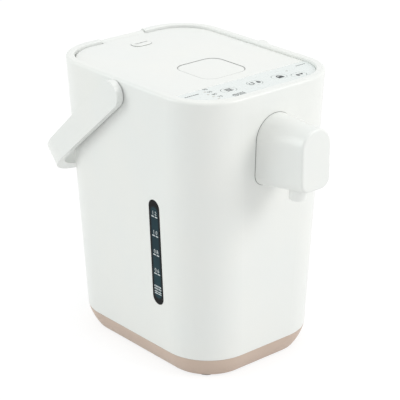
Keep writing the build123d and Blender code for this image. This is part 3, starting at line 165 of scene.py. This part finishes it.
def soft_lamp(name, place, size, power, colour):
    """A square lamp that looks at the pot's middle."""
    data = bpy.data.lights.new(name, "AREA")
    data.size, data.energy, data.color = size, power, colour
    lamp = bpy.data.objects.new(name, data)
    lamp.location = place
    lamp.rotation_euler = (LAMP_AIM - Vector(place)).to_track_quat("-Z", "Y").to_euler()
    bpy.context.scene.collection.objects.link(lamp)


soft_lamp("front_lamp", (1.3, -2.2, 1.7), size=1.6, power=32.5, colour=(1.0, 0.99, 0.97))
soft_lamp("side_lamp", (-2.2, 1.6, 1.2), size=1.6, power=22.0, colour=(0.96, 1.0, 0.97))
soft_lamp("top_lamp", (0.2, 0.2, 2.8), size=1.4, power=7.0, colour=(1.0, 1.0, 0.98))

# %% Floor
FLOOR_HALF = 8.0
FLOOR_PAINT = (0.80, 0.80, 0.80, 1.0)
FLOOR_GLOW = (0.80, 0.80, 0.80, 1.0)
SHADOW_PAINT = (0.26, 0.26, 0.26, 1.0)
floor_mesh = bpy.data.meshes.new("floor")
floor_mesh.from_pydata(
    [(-FLOOR_HALF, -FLOOR_HALF, 0), (FLOOR_HALF, -FLOOR_HALF, 0),
     (FLOOR_HALF, FLOOR_HALF, 0), (-FLOOR_HALF, FLOOR_HALF, 0)], [], [(0, 1, 2, 3)])
floor = bpy.data.objects.new("floor", floor_mesh)
bpy.context.scene.collection.objects.link(floor)
floor_paint = bpy.data.materials.new("floor_paint")
floor_paint.use_nodes = True
tree = floor_paint.node_tree
tree.nodes.clear()
plain = tree.nodes.new("ShaderNodeBsdfDiffuse")
plain.inputs["Color"].default_value = FLOOR_PAINT
shadow_catch = tree.nodes.new("ShaderNodeBsdfDiffuse")
shadow_catch.inputs["Color"].default_value = SHADOW_PAINT
glow = tree.nodes.new("ShaderNodeEmission")
glow.inputs["Color"].default_value = FLOOR_GLOW
shown = tree.nodes.new("ShaderNodeAddShader")
floor_mix = tree.nodes.new("ShaderNodeMixShader")
floor_out = tree.nodes.new("ShaderNodeOutputMaterial")
tree.links.new(shadow_catch.outputs[0], shown.inputs[0])
tree.links.new(glow.outputs[0], shown.inputs[1])
tree.links.new(seen_rays(tree), floor_mix.inputs["Fac"])
tree.links.new(plain.outputs[0], floor_mix.inputs[1])
tree.links.new(shown.outputs[0], floor_mix.inputs[2])
tree.links.new(floor_mix.outputs[0], floor_out.inputs["Surface"])
floor_mesh.materials.append(floor_paint)
print("floor:", 2 * FLOOR_HALF, "m wide")

# %% [markdown]
# ## Finishes
#
# Moulded plastic is never one flat colour. Its gloss drifts a little over the part, the tool leaves
# a fine grain that breaks up highlights, and the colour varies by a shade where the wall is thick.
# An image texture could show this, but it needs unwrapping and doesn't scale. Noise on Object
# coordinates gives it in real size on every part at once, so each finish is built from the same
# three layers: a slow drift of colour, a slow drift of roughness and a fine bump.


# %% Finish helpers
def start_finish(name):
    """A new material with its shader and its Object coordinates."""
    paint = bpy.data.materials.new(name)
    paint.use_nodes = True
    tree = paint.node_tree
    shader = next(n for n in tree.nodes if n.type == "BSDF_PRINCIPLED")
    coords = tree.nodes.new("ShaderNodeTexCoord").outputs["Object"]
    return paint, tree, shader, coords


def noise(tree, coords, size_mm, detail=2.0, stretch=(1.0, 1.0, 1.0)):
    """Noise whose blobs are about size_mm across."""
    place = tree.nodes.new("ShaderNodeMapping")
    place.inputs["Scale"].default_value = [1.0 / (size_mm * MM) * s for s in stretch]
    tree.links.new(coords, place.inputs["Vector"])
    texture = tree.nodes.new("ShaderNodeTexNoise")
    texture.inputs["Scale"].default_value = 1.0
    texture.inputs["Detail"].default_value = detail
    tree.links.new(place.outputs["Vector"], texture.inputs["Vector"])
    return texture.outputs["Fac"]


def two_tone(tree, factor, first, second, low=0.35, high=0.65):
    """A colour that goes from one tint to another while a factor goes from low to high."""
    ramp = tree.nodes.new("ShaderNodeValToRGB")
    for element, position, colour in zip(ramp.color_ramp.elements, (low, high), (first, second)):
        element.position, element.color = position, colour
    tree.links.new(factor, ramp.inputs["Fac"])
    return ramp.outputs["Color"]


def drift_colour(tree, shader, factor, first, second):
    """Lets the base colour drift between two tints."""
    tree.links.new(two_tone(tree, factor, first, second), shader.inputs["Base Color"])


def drift_roughness(tree, shader, factor, low, high):
    """Lets the roughness drift between two values."""
    spread = tree.nodes.new("ShaderNodeMapRange")
    spread.inputs["From Min"].default_value = 0.3
    spread.inputs["From Max"].default_value = 0.7
    spread.inputs["To Min"].default_value = low
    spread.inputs["To Max"].default_value = high
    tree.links.new(factor, spread.inputs["Value"])
    tree.links.new(spread.outputs["Result"], shader.inputs["Roughness"])


def add_bump(tree, shader, factor, depth_mm):
    """Raises and lowers the surface's normal by a height of depth_mm."""
    bump = tree.nodes.new("ShaderNodeBump")
    bump.inputs["Distance"].default_value = depth_mm * MM
    tree.links.new(factor, bump.inputs["Height"])
    tree.links.new(bump.outputs["Normal"], shader.inputs["Normal"])


print("finish helpers: noise, colour drift, roughness drift, bump")

# %% Moulded plastic
COLOUR_BLOB = 55.0
GLOSS_BLOB = 9.0
GRAIN_DETAIL = 3.0
COAT_ROUGHNESS = 0.2


def moulded(name, first, second, roughness=(0.3, 0.4), grain_mm=0.5, depth_mm=0.006, coat=0.0):
    """Injection-moulded plastic."""
    paint, tree, shader, coords = start_finish(name)
    drift_colour(tree, shader, noise(tree, coords, COLOUR_BLOB), first, second)
    drift_roughness(tree, shader, noise(tree, coords, GLOSS_BLOB, GRAIN_DETAIL), *roughness)
    add_bump(tree, shader, noise(tree, coords, grain_mm, GRAIN_DETAIL), depth_mm)
    shader.inputs["Coat Weight"].default_value = coat
    shader.inputs["Coat Roughness"].default_value = COAT_ROUGHNESS
    return paint


finishes = {
    "shell_white": moulded("housing_white", tint(240, 241, 238), tint(238, 240, 238),
                           roughness=(0.28, 0.36), grain_mm=0.45, depth_mm=0.004, coat=0.15),
    "panel_white": moulded("panel_white", tint(232, 237, 236), tint(229, 235, 234),
                           roughness=(0.24, 0.32), grain_mm=0.35, depth_mm=0.002, coat=0.3),
    "key_white": moulded("key_white", tint(233, 237, 236), tint(230, 235, 234),
                         roughness=(0.34, 0.42)),
    "base_beige": moulded("band_beige", tint(208, 187, 172), tint(204, 183, 168),
                          roughness=(0.42, 0.52), grain_mm=0.6, depth_mm=0.010),
    "inner_grey": moulded("inner_grey", tint(224, 224, 221), tint(218, 218, 216),
                          roughness=(0.4, 0.5)),
    # The nozzle's own colour is a whitish grey; its tints are lifted above the housing's white as painted
    # light, to brighten it in the shade under the spout.
    "nozzle_grey": moulded("nozzle_grey", tint(247, 248, 246), tint(243, 244, 242)),
    "dark_plastic": moulded("dark_plastic", tint(46, 46, 48), tint(38, 38, 40),
                            roughness=(0.4, 0.5)),
    "foot_rubber": moulded("foot_rubber", tint(128, 122, 118), tint(116, 111, 108),
                           roughness=(0.7, 0.85), grain_mm=0.8, depth_mm=0.03),
    "seal_rubber": moulded("silicone", tint(222, 220, 214), tint(214, 212, 206),
                           roughness=(0.45, 0.6), grain_mm=0.9, depth_mm=0.015),
    "lamp": moulded("lamp_lens", tint(206, 204, 196), tint(196, 195, 188), roughness=(0.12, 0.2)),
    "board_green": moulded("board_green", tint(52, 104, 74), tint(38, 88, 60),
                           roughness=(0.3, 0.45)),
    "mica": moulded("mica_sheet", tint(190, 176, 146), tint(170, 152, 118),
                    roughness=(0.4, 0.6), grain_mm=2.0, depth_mm=0.03),
    "jacket": moulded("felt_jacket", tint(214, 214, 210), tint(196, 196, 192),
                      roughness=(0.8, 0.95), grain_mm=1.2, depth_mm=0.12),
}
print("plastics:", sorted(finishes))

# %% [markdown]
# Metal needs another recipe. The container and the lid's plate are brushed steel: the lines run
# round the part, so the noise is stretched until only its height counts. Pins and the safety ball
# are polished, and what is left on them is a broad, very shallow unevenness.

# %% Metals and glass
METAL_BLOB = 30.0
METAL_DETAIL = 4.0
BRUSHED = {"size_mm": 0.35, "stretch": (0.01, 0.01, 1.0), "depth_mm": 0.004}
POLISHED = {"size_mm": 6.0, "stretch": (1.0, 1.0, 1.0), "depth_mm": 0.001}


def metal(name, first, second, roughness, surface):
    """Metal, brushed or polished."""
    paint, tree, shader, coords = start_finish(name)
    shader.inputs["Metallic"].default_value = 1.0
    drift_colour(tree, shader, noise(tree, coords, METAL_BLOB), first, second)
    lines = noise(tree, coords, surface["size_mm"], METAL_DETAIL, surface["stretch"])
    drift_roughness(tree, shader, lines, *roughness)
    add_bump(tree, shader, lines, surface["depth_mm"])
    return paint


def clear_glass(name):
    """The gauge tube: thin clear glass with a faint unevenness."""
    paint, tree, shader, coords = start_finish(name)
    shader.inputs["Base Color"].default_value = tint(236, 244, 243)
    shader.inputs["Transmission Weight"].default_value = 0.9
    shader.inputs["IOR"].default_value = 1.47
    drift_roughness(tree, shader, noise(tree, coords, size_mm=12.0), low=0.02, high=0.06)
    add_bump(tree, shader, noise(tree, coords, size_mm=8.0), depth_mm=0.004)
    return paint


finishes["steel"] = metal("brushed_steel", tint(206, 207, 208), tint(196, 197, 199),
                          (0.24, 0.4), BRUSHED)
finishes["bright_steel"] = metal("polished_steel", tint(214, 215, 217), tint(206, 207, 210),
                                 (0.08, 0.16), POLISHED)
finishes["brass"] = metal("pin_brass", tint(206, 180, 118), tint(190, 162, 98),
                          (0.2, 0.32), POLISHED)
finishes["glass"] = clear_glass("gauge_glass")
print("metals and glass added:", len(finishes), "finishes")

# %% [markdown]
# ## Water gauge
#
# The gauge's window is a long rounded pane, printed black round its edge and at both ends. Its
# middle is a narrow tinted strip behind which the water stands. The two could be separate meshes,
# but the pane is one flush moulding, so the strip is painted by distance: how far a point lies from
# the line that the strip runs along, worked out from its Object coordinates.

# %% Window paint
GAUGE_Y = -35.0
STRIP_LOW, STRIP_HIGH = 66.0, 136.0
STRIP_HALF = 4.2
STRIP_EDGE = 1.3
# A colour mix node has sockets of the same name for each kind of value, so it is wired by number.
MIX_FACTOR, MIX_FIRST, MIX_SECOND, MIX_RESULT = 0, 6, 7, 2


def strip_distance(tree, coords):
    """Distance in millimetres from the line that the tinted strip runs along."""
    split = tree.nodes.new("ShaderNodeSeparateXYZ")
    tree.links.new(coords, split.inputs[0])

    def step(operation, first, second=0.0):
        node = tree.nodes.new("ShaderNodeMath")
        node.operation = operation
        for socket, value in zip(node.inputs, (first, second)):
            if isinstance(value, float):
                socket.default_value = value
            else:
                tree.links.new(value, socket)
        return node.outputs[0]

    across = step("SUBTRACT", step("MULTIPLY", split.outputs["Y"], 1 / MM), GAUGE_Y)
    along = step("SUBTRACT", step("MULTIPLY", split.outputs["Z"], 1 / MM), (STRIP_LOW + STRIP_HIGH) / 2)
    beyond = step("SUBTRACT", step("ABSOLUTE", along), (STRIP_HIGH - STRIP_LOW) / 2)
    past_end = step("MAXIMUM", beyond, 0.0)
    return step("SQRT", step("ADD", step("MULTIPLY", across, across), step("MULTIPLY", past_end, past_end)))


paint, tree, shader, coords = start_finish("gauge_pane")
edge = tree.nodes.new("ShaderNodeMapRange")
edge.interpolation_type = "SMOOTHSTEP"
edge.inputs["From Min"].default_value = STRIP_HALF - STRIP_EDGE
edge.inputs["From Max"].default_value = STRIP_HALF + STRIP_EDGE
tree.links.new(strip_distance(tree, coords), edge.inputs["Value"])
strip = two_tone(tree, noise(tree, coords, size_mm=26.0), tint(26, 60, 68), tint(16, 44, 54),
                 low=0.3, high=0.7)
border = tree.nodes.new("ShaderNodeMix")
border.data_type = "RGBA"
border.inputs[MIX_SECOND].default_value = tint(7, 9, 12)
tree.links.new(edge.outputs["Result"], border.inputs[MIX_FACTOR])
tree.links.new(strip, border.inputs[MIX_FIRST])
tree.links.new(border.outputs[MIX_RESULT], shader.inputs["Base Color"])
shader.inputs["Specular IOR Level"].default_value = 0.1
drift_roughness(tree, shader, noise(tree, coords, size_mm=7.0), low=0.16, high=0.24)
add_bump(tree, shader, noise(tree, coords, size_mm=3.0), depth_mm=0.002)
finishes["gauge_print"] = paint
print("window paint: strip", 2 * STRIP_HALF, "mm wide")

# %% [markdown]
# ## Dressing the solids
#
# Each solid's record names the material it is made of, so one loop hands every solid its finish.

# %% Hand out the finishes
slot_of = {part["node"]: part["material_slot"] for part in frame["record"]["subparts"]}
for name, solid in nodes.items():
    solid.data.materials.clear()
    solid.data.materials.append(finishes[slot_of[name]])
print("dressed:", len(slot_of), "solids")

# %% [markdown]
# ## Prints
#
# The marks on the gauge and the symbols on the keys and beside them are pad-printed ink. Ink could
# be painted in the material, but a thin mesh just above the surface stays sharp at any distance and
# follows a key when it is pressed. Two inks are enough.

# %% Inks
finishes["ink_white"] = moulded("ink_white", tint(214, 220, 222), tint(204, 211, 214),
                                roughness=(0.4, 0.5), grain_mm=0.3, depth_mm=0.004)
# The dark ink's finish also fills the steam cap's slot, where it is painted shade.
finishes["ink_dark"] = moulded("ink_dark", tint(62, 66, 68), tint(50, 54, 57),
                               roughness=(0.5, 0.6), grain_mm=0.3, depth_mm=0.004)
INK_THICKNESS = 0.03
TOP_HEIGHT, HALF_WIDTH, LEAN = 235.0, 74.0, 0.0385
LID_TOP = 232.7


def wall_frame(y, z):
    """The matrix that lays a drawing on the gauge side's leaning wall, at a height z."""
    across = Vector((0, -1, 0))
    upward = Vector((-LEAN, 0, 1)).normalized()
    outward = across.cross(upward)
    place = Vector((-(HALF_WIDTH - LEAN * (TOP_HEIGHT - z)), y, z)) * MM
    return Matrix.Translation(place) @ Matrix((across, upward, outward)).transposed().to_4x4()


def level_frame(x, y, z=LID_TOP):
    """The matrix that lays a drawing flat at a height z, which is the key strip's if not given."""
    return Matrix.Translation(Vector((x, y, z)) * MM)


def link(name, mesh, body, finish):
    """Puts a finished mesh into the scene and makes it ride."""
    piece = bpy.data.objects.new(name, mesh)
    bpy.context.scene.collection.objects.link(piece)
    mesh.materials.clear()
    mesh.materials.append(finishes[finish])
    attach(piece, body)


def merged(name, meshes):
    """One mesh from several."""
    corners, faces = [], []
    for mesh in meshes:
        start = len(corners)
        corners += [vertex.co.copy() for vertex in mesh.vertices]
        faces += [[start + index for index in face.vertices] for face in mesh.polygons]
        bpy.data.meshes.remove(mesh)
    whole = bpy.data.meshes.new(name)
    whole.from_pydata(corners, [], faces)
    return whole


print("inks: white and dark, sheets", INK_THICKNESS, "mm thick")

# %% [markdown]
# ### Ruled marks with Geometry Nodes
#
# The gauge's lines stand at equal steps, one for each fifth of a litre, and the legends beside the
# keys are rows of short dashes. Both are one rule: a bar, repeated along a line. A node group holds
# that rule once, with the count, the step and the bar's size as named inputs.


# %% Node group: bars in a row
def add_input(group, name, kind, value=None):
    """A named input on a node group. Returns the identifier that a modifier uses."""
    socket = group.interface.new_socket(name=name, in_out="INPUT", socket_type=kind)
    if value is not None:
        socket.default_value = value
    return socket.identifier


rows = bpy.data.node_groups.new("bars_in_a_row", "GeometryNodeTree")
row_inputs = {
    "Count": add_input(rows, "Count", "NodeSocketInt", 4),
    "Step": add_input(rows, "Step", "NodeSocketVector", (0.0, 10 * MM, 0.0)),
    "Bar": add_input(rows, "Bar", "NodeSocketVector", (6 * MM, 1 * MM, 0.1 * MM)),
    "Ink": add_input(rows, "Ink", "NodeSocketMaterial"),
}
rows.interface.new_socket(name="Geometry", in_out="OUTPUT", socket_type="NodeSocketGeometry")
given = rows.nodes.new("NodeGroupInput")
line = rows.nodes.new("GeometryNodeMeshLine")
bar = rows.nodes.new("GeometryNodeMeshCube")
copies = rows.nodes.new("GeometryNodeInstanceOnPoints")
real = rows.nodes.new("GeometryNodeRealizeInstances")
inked = rows.nodes.new("GeometryNodeSetMaterial")
result = rows.nodes.new("NodeGroupOutput")
rows.links.new(given.outputs["Count"], line.inputs["Count"])
rows.links.new(given.outputs["Step"], line.inputs["Offset"])
rows.links.new(given.outputs["Bar"], bar.inputs["Size"])
rows.links.new(line.outputs["Mesh"], copies.inputs["Points"])
rows.links.new(bar.outputs["Mesh"], copies.inputs["Instance"])
rows.links.new(copies.outputs["Instances"], real.inputs["Geometry"])
rows.links.new(real.outputs["Geometry"], inked.inputs["Geometry"])
rows.links.new(given.outputs["Ink"], inked.inputs["Material"])
rows.links.new(inked.outputs["Geometry"], result.inputs["Geometry"])
print("node group:", rows.name, "with inputs", list(row_inputs))


# %% Run a node group and keep plain meshes
def grown(group, inputs, values, base=None):
    """The plain mesh that a node group makes."""
    carrier = bpy.data.objects.new("carrier", base or bpy.data.meshes.new("carrier"))
    bpy.context.scene.collection.objects.link(carrier)
    modifier = carrier.modifiers.new("nodes", "NODES")
    modifier.node_group = group
    for name, value in values.items():
        modifier[inputs[name]] = value
    evaluated = carrier.evaluated_get(bpy.context.evaluated_depsgraph_get())
    mesh = bpy.data.meshes.new_from_object(evaluated)
    bpy.data.objects.remove(carrier)
    return mesh


def bars(frame_matrix, count, step, width, height, ink):
    """A centred row of printed bars, laid out by a matrix; it also lays the steam slot's bar of painted
    shade.
    """
    mesh = grown(rows, row_inputs, {
        "Count": count,
        "Step": [length * MM for length in step],
        "Bar": (width * MM, height * MM, INK_THICKNESS * MM),
        "Ink": finishes[ink],
    })
    middle = Vector([-length * (count - 1) / 2 for length in step]) * MM
    mesh.transform(frame_matrix @ Matrix.Translation(middle + Vector((0, 0, INK_THICKNESS / 2 * MM))))
    return mesh


print("mesh helpers: a node group's plain mesh, a row of bars")

# %% [markdown]
# ### Marks on the gauge
#
# Each tick is two short bars with a gap between them. The refill mark at the bottom is two bars on
# each side, under two rows of dashes that stand for its legend. They could be drawn bar by bar, but
# each row is the node group again with other sizes, so a step or a width is changed in one place.

# %% Gauge lines
TICKS, TICK_STEP, LOWEST_TICK = 4, 16.33, 83.1
TICK_WIDTH, TICK_HEIGHT, TICK_ASIDE = 3.0, 0.95, 2.0
MIDDLE_TICK = LOWEST_TICK + TICK_STEP * (TICKS - 1) / 2
REFILL = 69.0
REFILL_BARS, REFILL_STEP, REFILL_DROP = 2, 1.7, 2.3
REFILL_WIDTH, REFILL_HEIGHT, REFILL_ASIDE = 3.7, 0.8, 2.15
LEGEND_DASHES, LEGEND_STEP, LEGEND_RISES = 5, 1.7, (0.9, 3.1)
LEGEND_WIDTH, LEGEND_HEIGHT = 1.1, 1.3
lines = [bars(wall_frame(GAUGE_Y + side, MIDDLE_TICK), TICKS, (0, TICK_STEP, 0),
              TICK_WIDTH, TICK_HEIGHT, "ink_white")
         for side in (-TICK_ASIDE, TICK_ASIDE)]
lines += [bars(wall_frame(GAUGE_Y + side, REFILL - REFILL_DROP), REFILL_BARS, (0, REFILL_STEP, 0),
               REFILL_WIDTH, REFILL_HEIGHT, "ink_white")
          for side in (-REFILL_ASIDE, REFILL_ASIDE)]
lines += [bars(wall_frame(GAUGE_Y, REFILL + rise), LEGEND_DASHES, (LEGEND_STEP, 0, 0),
               LEGEND_WIDTH, LEGEND_HEIGHT, "ink_white")
          for rise in LEGEND_RISES]
link("gauge_lines", merged("gauge_lines", lines), "pot", "ink_white")
print("gauge lines:", TICKS, "plus the refill mark at", REFILL, "mm")

# %% [markdown]
# ### Numerals
#
# A text object makes the figures. Its mesh is taken once, laid on the wall, and the text itself is
# thrown away, so the piece is plain geometry at the origin like all others.

# %% Figures on the gauge
FIRST_LITRES, LITRES_STEP = 0.6, 0.2
FIGURE_SIZE, FIGURE_RISE = 4.6, 2.9


def figures(text, size_mm, frame_matrix):
    """The mesh of a short number, centred."""
    curve = bpy.data.curves.new("figures", "FONT")
    curve.body, curve.size = text, size_mm * MM
    curve.align_x, curve.align_y = "CENTER", "CENTER"
    curve.extrude = INK_THICKNESS / 2 * MM
    curve.resolution_u = 2
    carrier = bpy.data.objects.new("figures", curve)
    bpy.context.scene.collection.objects.link(carrier)
    evaluated = carrier.evaluated_get(bpy.context.evaluated_depsgraph_get())
    mesh = bpy.data.meshes.new_from_object(evaluated)
    bpy.data.objects.remove(carrier)
    mesh.transform(frame_matrix @ Matrix.Translation((0, 0, INK_THICKNESS / 2 * MM)))
    return mesh


litres = [figures(f"{FIRST_LITRES + LITRES_STEP * i:.1f}", FIGURE_SIZE,
                  wall_frame(GAUGE_Y, LOWEST_TICK + TICK_STEP * i + FIGURE_RISE))
          for i in range(TICKS)]
link("gauge_figures", merged("gauge_figures", litres), "pot", "ink_white")
print("gauge figures:", len(litres))

# %% [markdown]
# ### Symbols
#
# The key strip carries short legends. Plain symbols stand in for words: a drop for water, a padlock
# for the lock, a circle with a gap for boiling again, and small figures for the keep-warm steps.

# %% Symbol outlines
ARC_STEPS = 14


def flat(outline, frame_matrix):
    """A thin printed sheet from an outline in millimetres, with all its faces closed."""
    count = len(outline)
    corners = [frame_matrix @ (Vector((x, y, z)) * MM) for z in (0, INK_THICKNESS) for x, y in outline]
    sides = [(i, (i + 1) % count, count + (i + 1) % count, count + i) for i in range(count)]
    mesh = bpy.data.meshes.new("symbol")
    mesh.from_pydata(corners, [], [tuple(reversed(range(count))), tuple(range(count, 2 * count)), *sides])
    return mesh


def arc(radius, start, end, steps=ARC_STEPS, centre=(0.0, 0.0)):
    """Points on a circle between two angles in degrees."""
    angles = [math.radians(start + (end - start) * i / steps) for i in range(steps + 1)]
    return [(centre[0] + radius * math.cos(a), centre[1] + radius * math.sin(a)) for a in angles]


def ring_piece(outer, inner, start, end, centre=(0.0, 0.0)):
    """A bent band."""
    return arc(outer, start, end, centre=centre) + arc(inner, end, start, centre=centre)


def oblong(width, height, centre=(0.0, 0.0)):
    """A rectangle."""
    x, y = centre
    return [(x - width / 2, y - height / 2), (x + width / 2, y - height / 2),
            (x + width / 2, y + height / 2), (x - width / 2, y + height / 2)]


SYMBOLS = {
    "drop": [arc(1.25, 150, 390, 18, (0.0, -0.5)) + [(0.0, 2.0)]],
    "padlock": [oblong(3.0, 2.0, (0, -0.8)), ring_piece(1.25, 0.75, 0, 180, (0.0, 0.2))],
    "again": [ring_piece(1.7, 1.1, 120, 420), [(0.3, 1.0), (2.1, 1.0), (1.2, 2.3)]],
    "list": [oblong(3.4, 0.7, (0, 1.2)), oblong(3.4, 0.7), oblong(3.4, 0.7, (0, -1.2))],
    "clock": [ring_piece(1.6, 1.15, 0, 359), oblong(0.5, 1.2, (0, 0.4)), oblong(0.9, 0.5, (0.3, 0))],
    "down": [[(-1.6, 0.9), (0.0, -1.2), (1.6, 0.9)]],
}


def symbol(name, x, y, size, z=LID_TOP):
    """The meshes of one symbol at a height z, size times as large as its outline."""
    place = level_frame(x, y, z) @ Matrix.Diagonal((size, size, 1.0, 1.0))
    return [flat(outline, place) for outline in SYMBOLS[name]]


print("symbols:", sorted(SYMBOLS))

# %% Print the key strip
DASH_HEIGHT, DASH_GAP = 1.0, 0.5
WARM_SIZE = 4.2
# Each row of dashes has its middle, its number of dashes and their step.
dash_rows = ((-22.4, -82.6, 4, 1.7), (-22.4, -80.9, 4, 1.7), (-22.4, -79.2, 4, 1.7),
             (57.5, -60.2, 6, 1.7), (-53.9, -61.3, 7, 2.0))
warm_steps = (("98", -37.0, -56.6), ("90", -38.2, -63.3), ("80", -38.9, -69.4), ("70", -38.9, -75.9))
legends = symbol("clock", -28.4, -81.0, 1.5)
legends += [bars(level_frame(x, y), count, (step, 0, 0), step - DASH_GAP, DASH_HEIGHT, "ink_dark")
            for x, y, count, step in dash_rows]
legends += [figures(text, WARM_SIZE, level_frame(x, y)) for text, x, y in warm_steps]
link("strip_legends", merged("strip_legends", legends), "pot", "ink_dark")
print("legends on the strip:", len(legends))

# %% Print the keys
KEY_TOP = 232.8
# Each mark on a key has its symbol, its middle and its size.
key_prints = {
    "reboil_key": [("again", -2.1, -69.7, 1.35), ("drop", 4.6, -69.6, 1.3)],
    "unlock_key": [("padlock", 25.3, -70.7, 1.9)],
    "dispense_key": [("drop", 38.6, -77.2, 1.2), ("down", 42.4, -77.2, 1.4)],
    "select_key": [("list", -24.5, -69.1, 1.7)],
}
for body, marks in key_prints.items():
    drawn = [mesh for mark in marks for mesh in symbol(*mark, KEY_TOP)]
    link(f"{body}_print", merged(body, drawn), body, "ink_dark")
print("printed keys:", len(key_prints))

# %% [markdown]
# ## Seams
#
# Where the spout's cover meets the housing there is a fine dark joint, and so there is round the
# button and at the foot of the steam cap. A groove in the solid would be too small to mesh well, so
# a thin grey bead follows each outline, painted shade that stands for the dark of the narrow gap.
# It is swept along that outline by a second node group. The button's bead rides on the lid, so it
# stays when the button goes down. In the steam cap's slot lies a thin dark bar of painted shade,
# half a millimetre below the cap's top.

# %% Node group: bead along a path
BEAD_SIDES = 8
beads = bpy.data.node_groups.new("bead_along_a_path", "GeometryNodeTree")
bead_inputs = {
    "Path": add_input(beads, "Path", "NodeSocketGeometry"),
    "Radius": add_input(beads, "Radius", "NodeSocketFloat", 0.3 * MM),
    "Finish": add_input(beads, "Finish", "NodeSocketMaterial"),
}
beads.interface.new_socket(name="Geometry", in_out="OUTPUT", socket_type="NodeSocketGeometry")
given = beads.nodes.new("NodeGroupInput")
along = beads.nodes.new("GeometryNodeMeshToCurve")
profile = beads.nodes.new("GeometryNodeCurvePrimitiveCircle")
profile.inputs["Resolution"].default_value = BEAD_SIDES
sweep = beads.nodes.new("GeometryNodeCurveToMesh")
real = beads.nodes.new("GeometryNodeRealizeInstances")
faced = beads.nodes.new("GeometryNodeSetMaterial")
result = beads.nodes.new("NodeGroupOutput")
beads.links.new(given.outputs["Path"], along.inputs["Mesh"])
beads.links.new(given.outputs["Radius"], profile.inputs["Radius"])
beads.links.new(along.outputs["Curve"], sweep.inputs["Curve"])
beads.links.new(profile.outputs["Curve"], sweep.inputs["Profile Curve"])
beads.links.new(sweep.outputs["Mesh"], real.inputs["Geometry"])
beads.links.new(real.outputs["Geometry"], faced.inputs["Geometry"])
beads.links.new(given.outputs["Finish"], faced.inputs["Material"])
beads.links.new(faced.outputs["Geometry"], result.inputs["Geometry"])
print("node group:", beads.name, "with inputs", list(bead_inputs))

# %% Lay a bead
# The seam's grey is painted shade, the dark of the gap at each joint.
finishes["seam_shadow"] = moulded("seam_shadow", tint(150, 153, 150), tint(138, 141, 138),
                                  roughness=(0.6, 0.7))


def seam(name, points, radius, body):
    """A closed bead through points in millimetres."""
    path = bpy.data.meshes.new(name)
    path.from_pydata([Vector(point) * MM for point in points],
                     [(i, (i + 1) % len(points)) for i in range(len(points))], [])
    mesh = grown(beads, bead_inputs, {"Radius": radius * MM, "Finish": finishes["seam_shadow"]}, path)
    link(name, mesh, body, "seam_shadow")
    print(name, "has", len(mesh.vertices), "points")


# %% Spout seam
HALF_DEPTH = 95.0
SPOUT_WIDTH, SPOUT_TOP, SPOUT_BOTTOM, SPOUT_CORNER = 37.6, 216.0, 160.0, 10.0
SPOUT_BEAD = 0.35
CROWN_STEPS, CORNER_STEPS = 40, 12
half = SPOUT_WIDTH / 2
corner_x, corner_z = half - SPOUT_CORNER, SPOUT_BOTTOM + SPOUT_CORNER
outline = (arc(half, 0, 180, CROWN_STEPS, (0.0, SPOUT_TOP - half))
           + arc(SPOUT_CORNER, 180, 270, CORNER_STEPS, (-corner_x, corner_z))
           + arc(SPOUT_CORNER, 270, 360, CORNER_STEPS, (corner_x, corner_z)))
seam("spout_seam", [(x, -(HALF_DEPTH - LEAN * (TOP_HEIGHT - z)), z) for x, z in outline], SPOUT_BEAD, "pot")

# %% Lid seams
QUARTER_STEPS = 10
BUTTON_Y, BUTTON_HALF, BUTTON_CORNER = -21.0, 21.7, 10.7
BUTTON_BEAD, BUTTON_BEAD_Z = 0.17, LID_TOP - 0.15
VENT_Y, VENT_HALF_LENGTH, VENT_HALF_WIDTH, VENT_CORNER = 65.4, 9.0, 5.5, 5.4
VENT_BEAD, VENT_BEAD_Z = 0.25, LID_TOP + 0.05
VENT_SLOT, VENT_SLOT_Z = (12.9, 1.3), LID_TOP + 0.5


def rounded(half_x, half_y, corner, y, z):
    """A level rectangle with round corners, its middle at y and its height at z."""
    quarters = ((1, 1, 0), (-1, 1, 90), (-1, -1, 180), (1, -1, 270))
    return [(px, py, z) for side_x, side_y, start in quarters
            for px, py in arc(corner, start, start + 90, QUARTER_STEPS,
                              (side_x * (half_x - corner), y + side_y * (half_y - corner)))]


button_outline = rounded(BUTTON_HALF, BUTTON_HALF, BUTTON_CORNER, BUTTON_Y, BUTTON_BEAD_Z)
vent_outline = rounded(VENT_HALF_LENGTH, VENT_HALF_WIDTH, VENT_CORNER, VENT_Y, VENT_BEAD_Z)
seam("button_seam", button_outline, BUTTON_BEAD, "lid")
seam("vent_seam", vent_outline, VENT_BEAD, "lid")
# A thin bar of the dark ink's finish lies in the steam cap's slot as painted shade, the dark of the slot's
# depth.
slot_shade = bars(level_frame(0, VENT_Y, VENT_SLOT_Z), 1, (0, 0, 0), *VENT_SLOT, "ink_dark")
link("vent_slot_shade", slot_shade, "lid", "ink_dark")
print("steam slot:", VENT_SLOT[0], "mm long")

# %% [markdown]
# ## Finish
#
# At the end the view layer is brought up to date.

# %% Finish
bpy.context.view_layer.update()
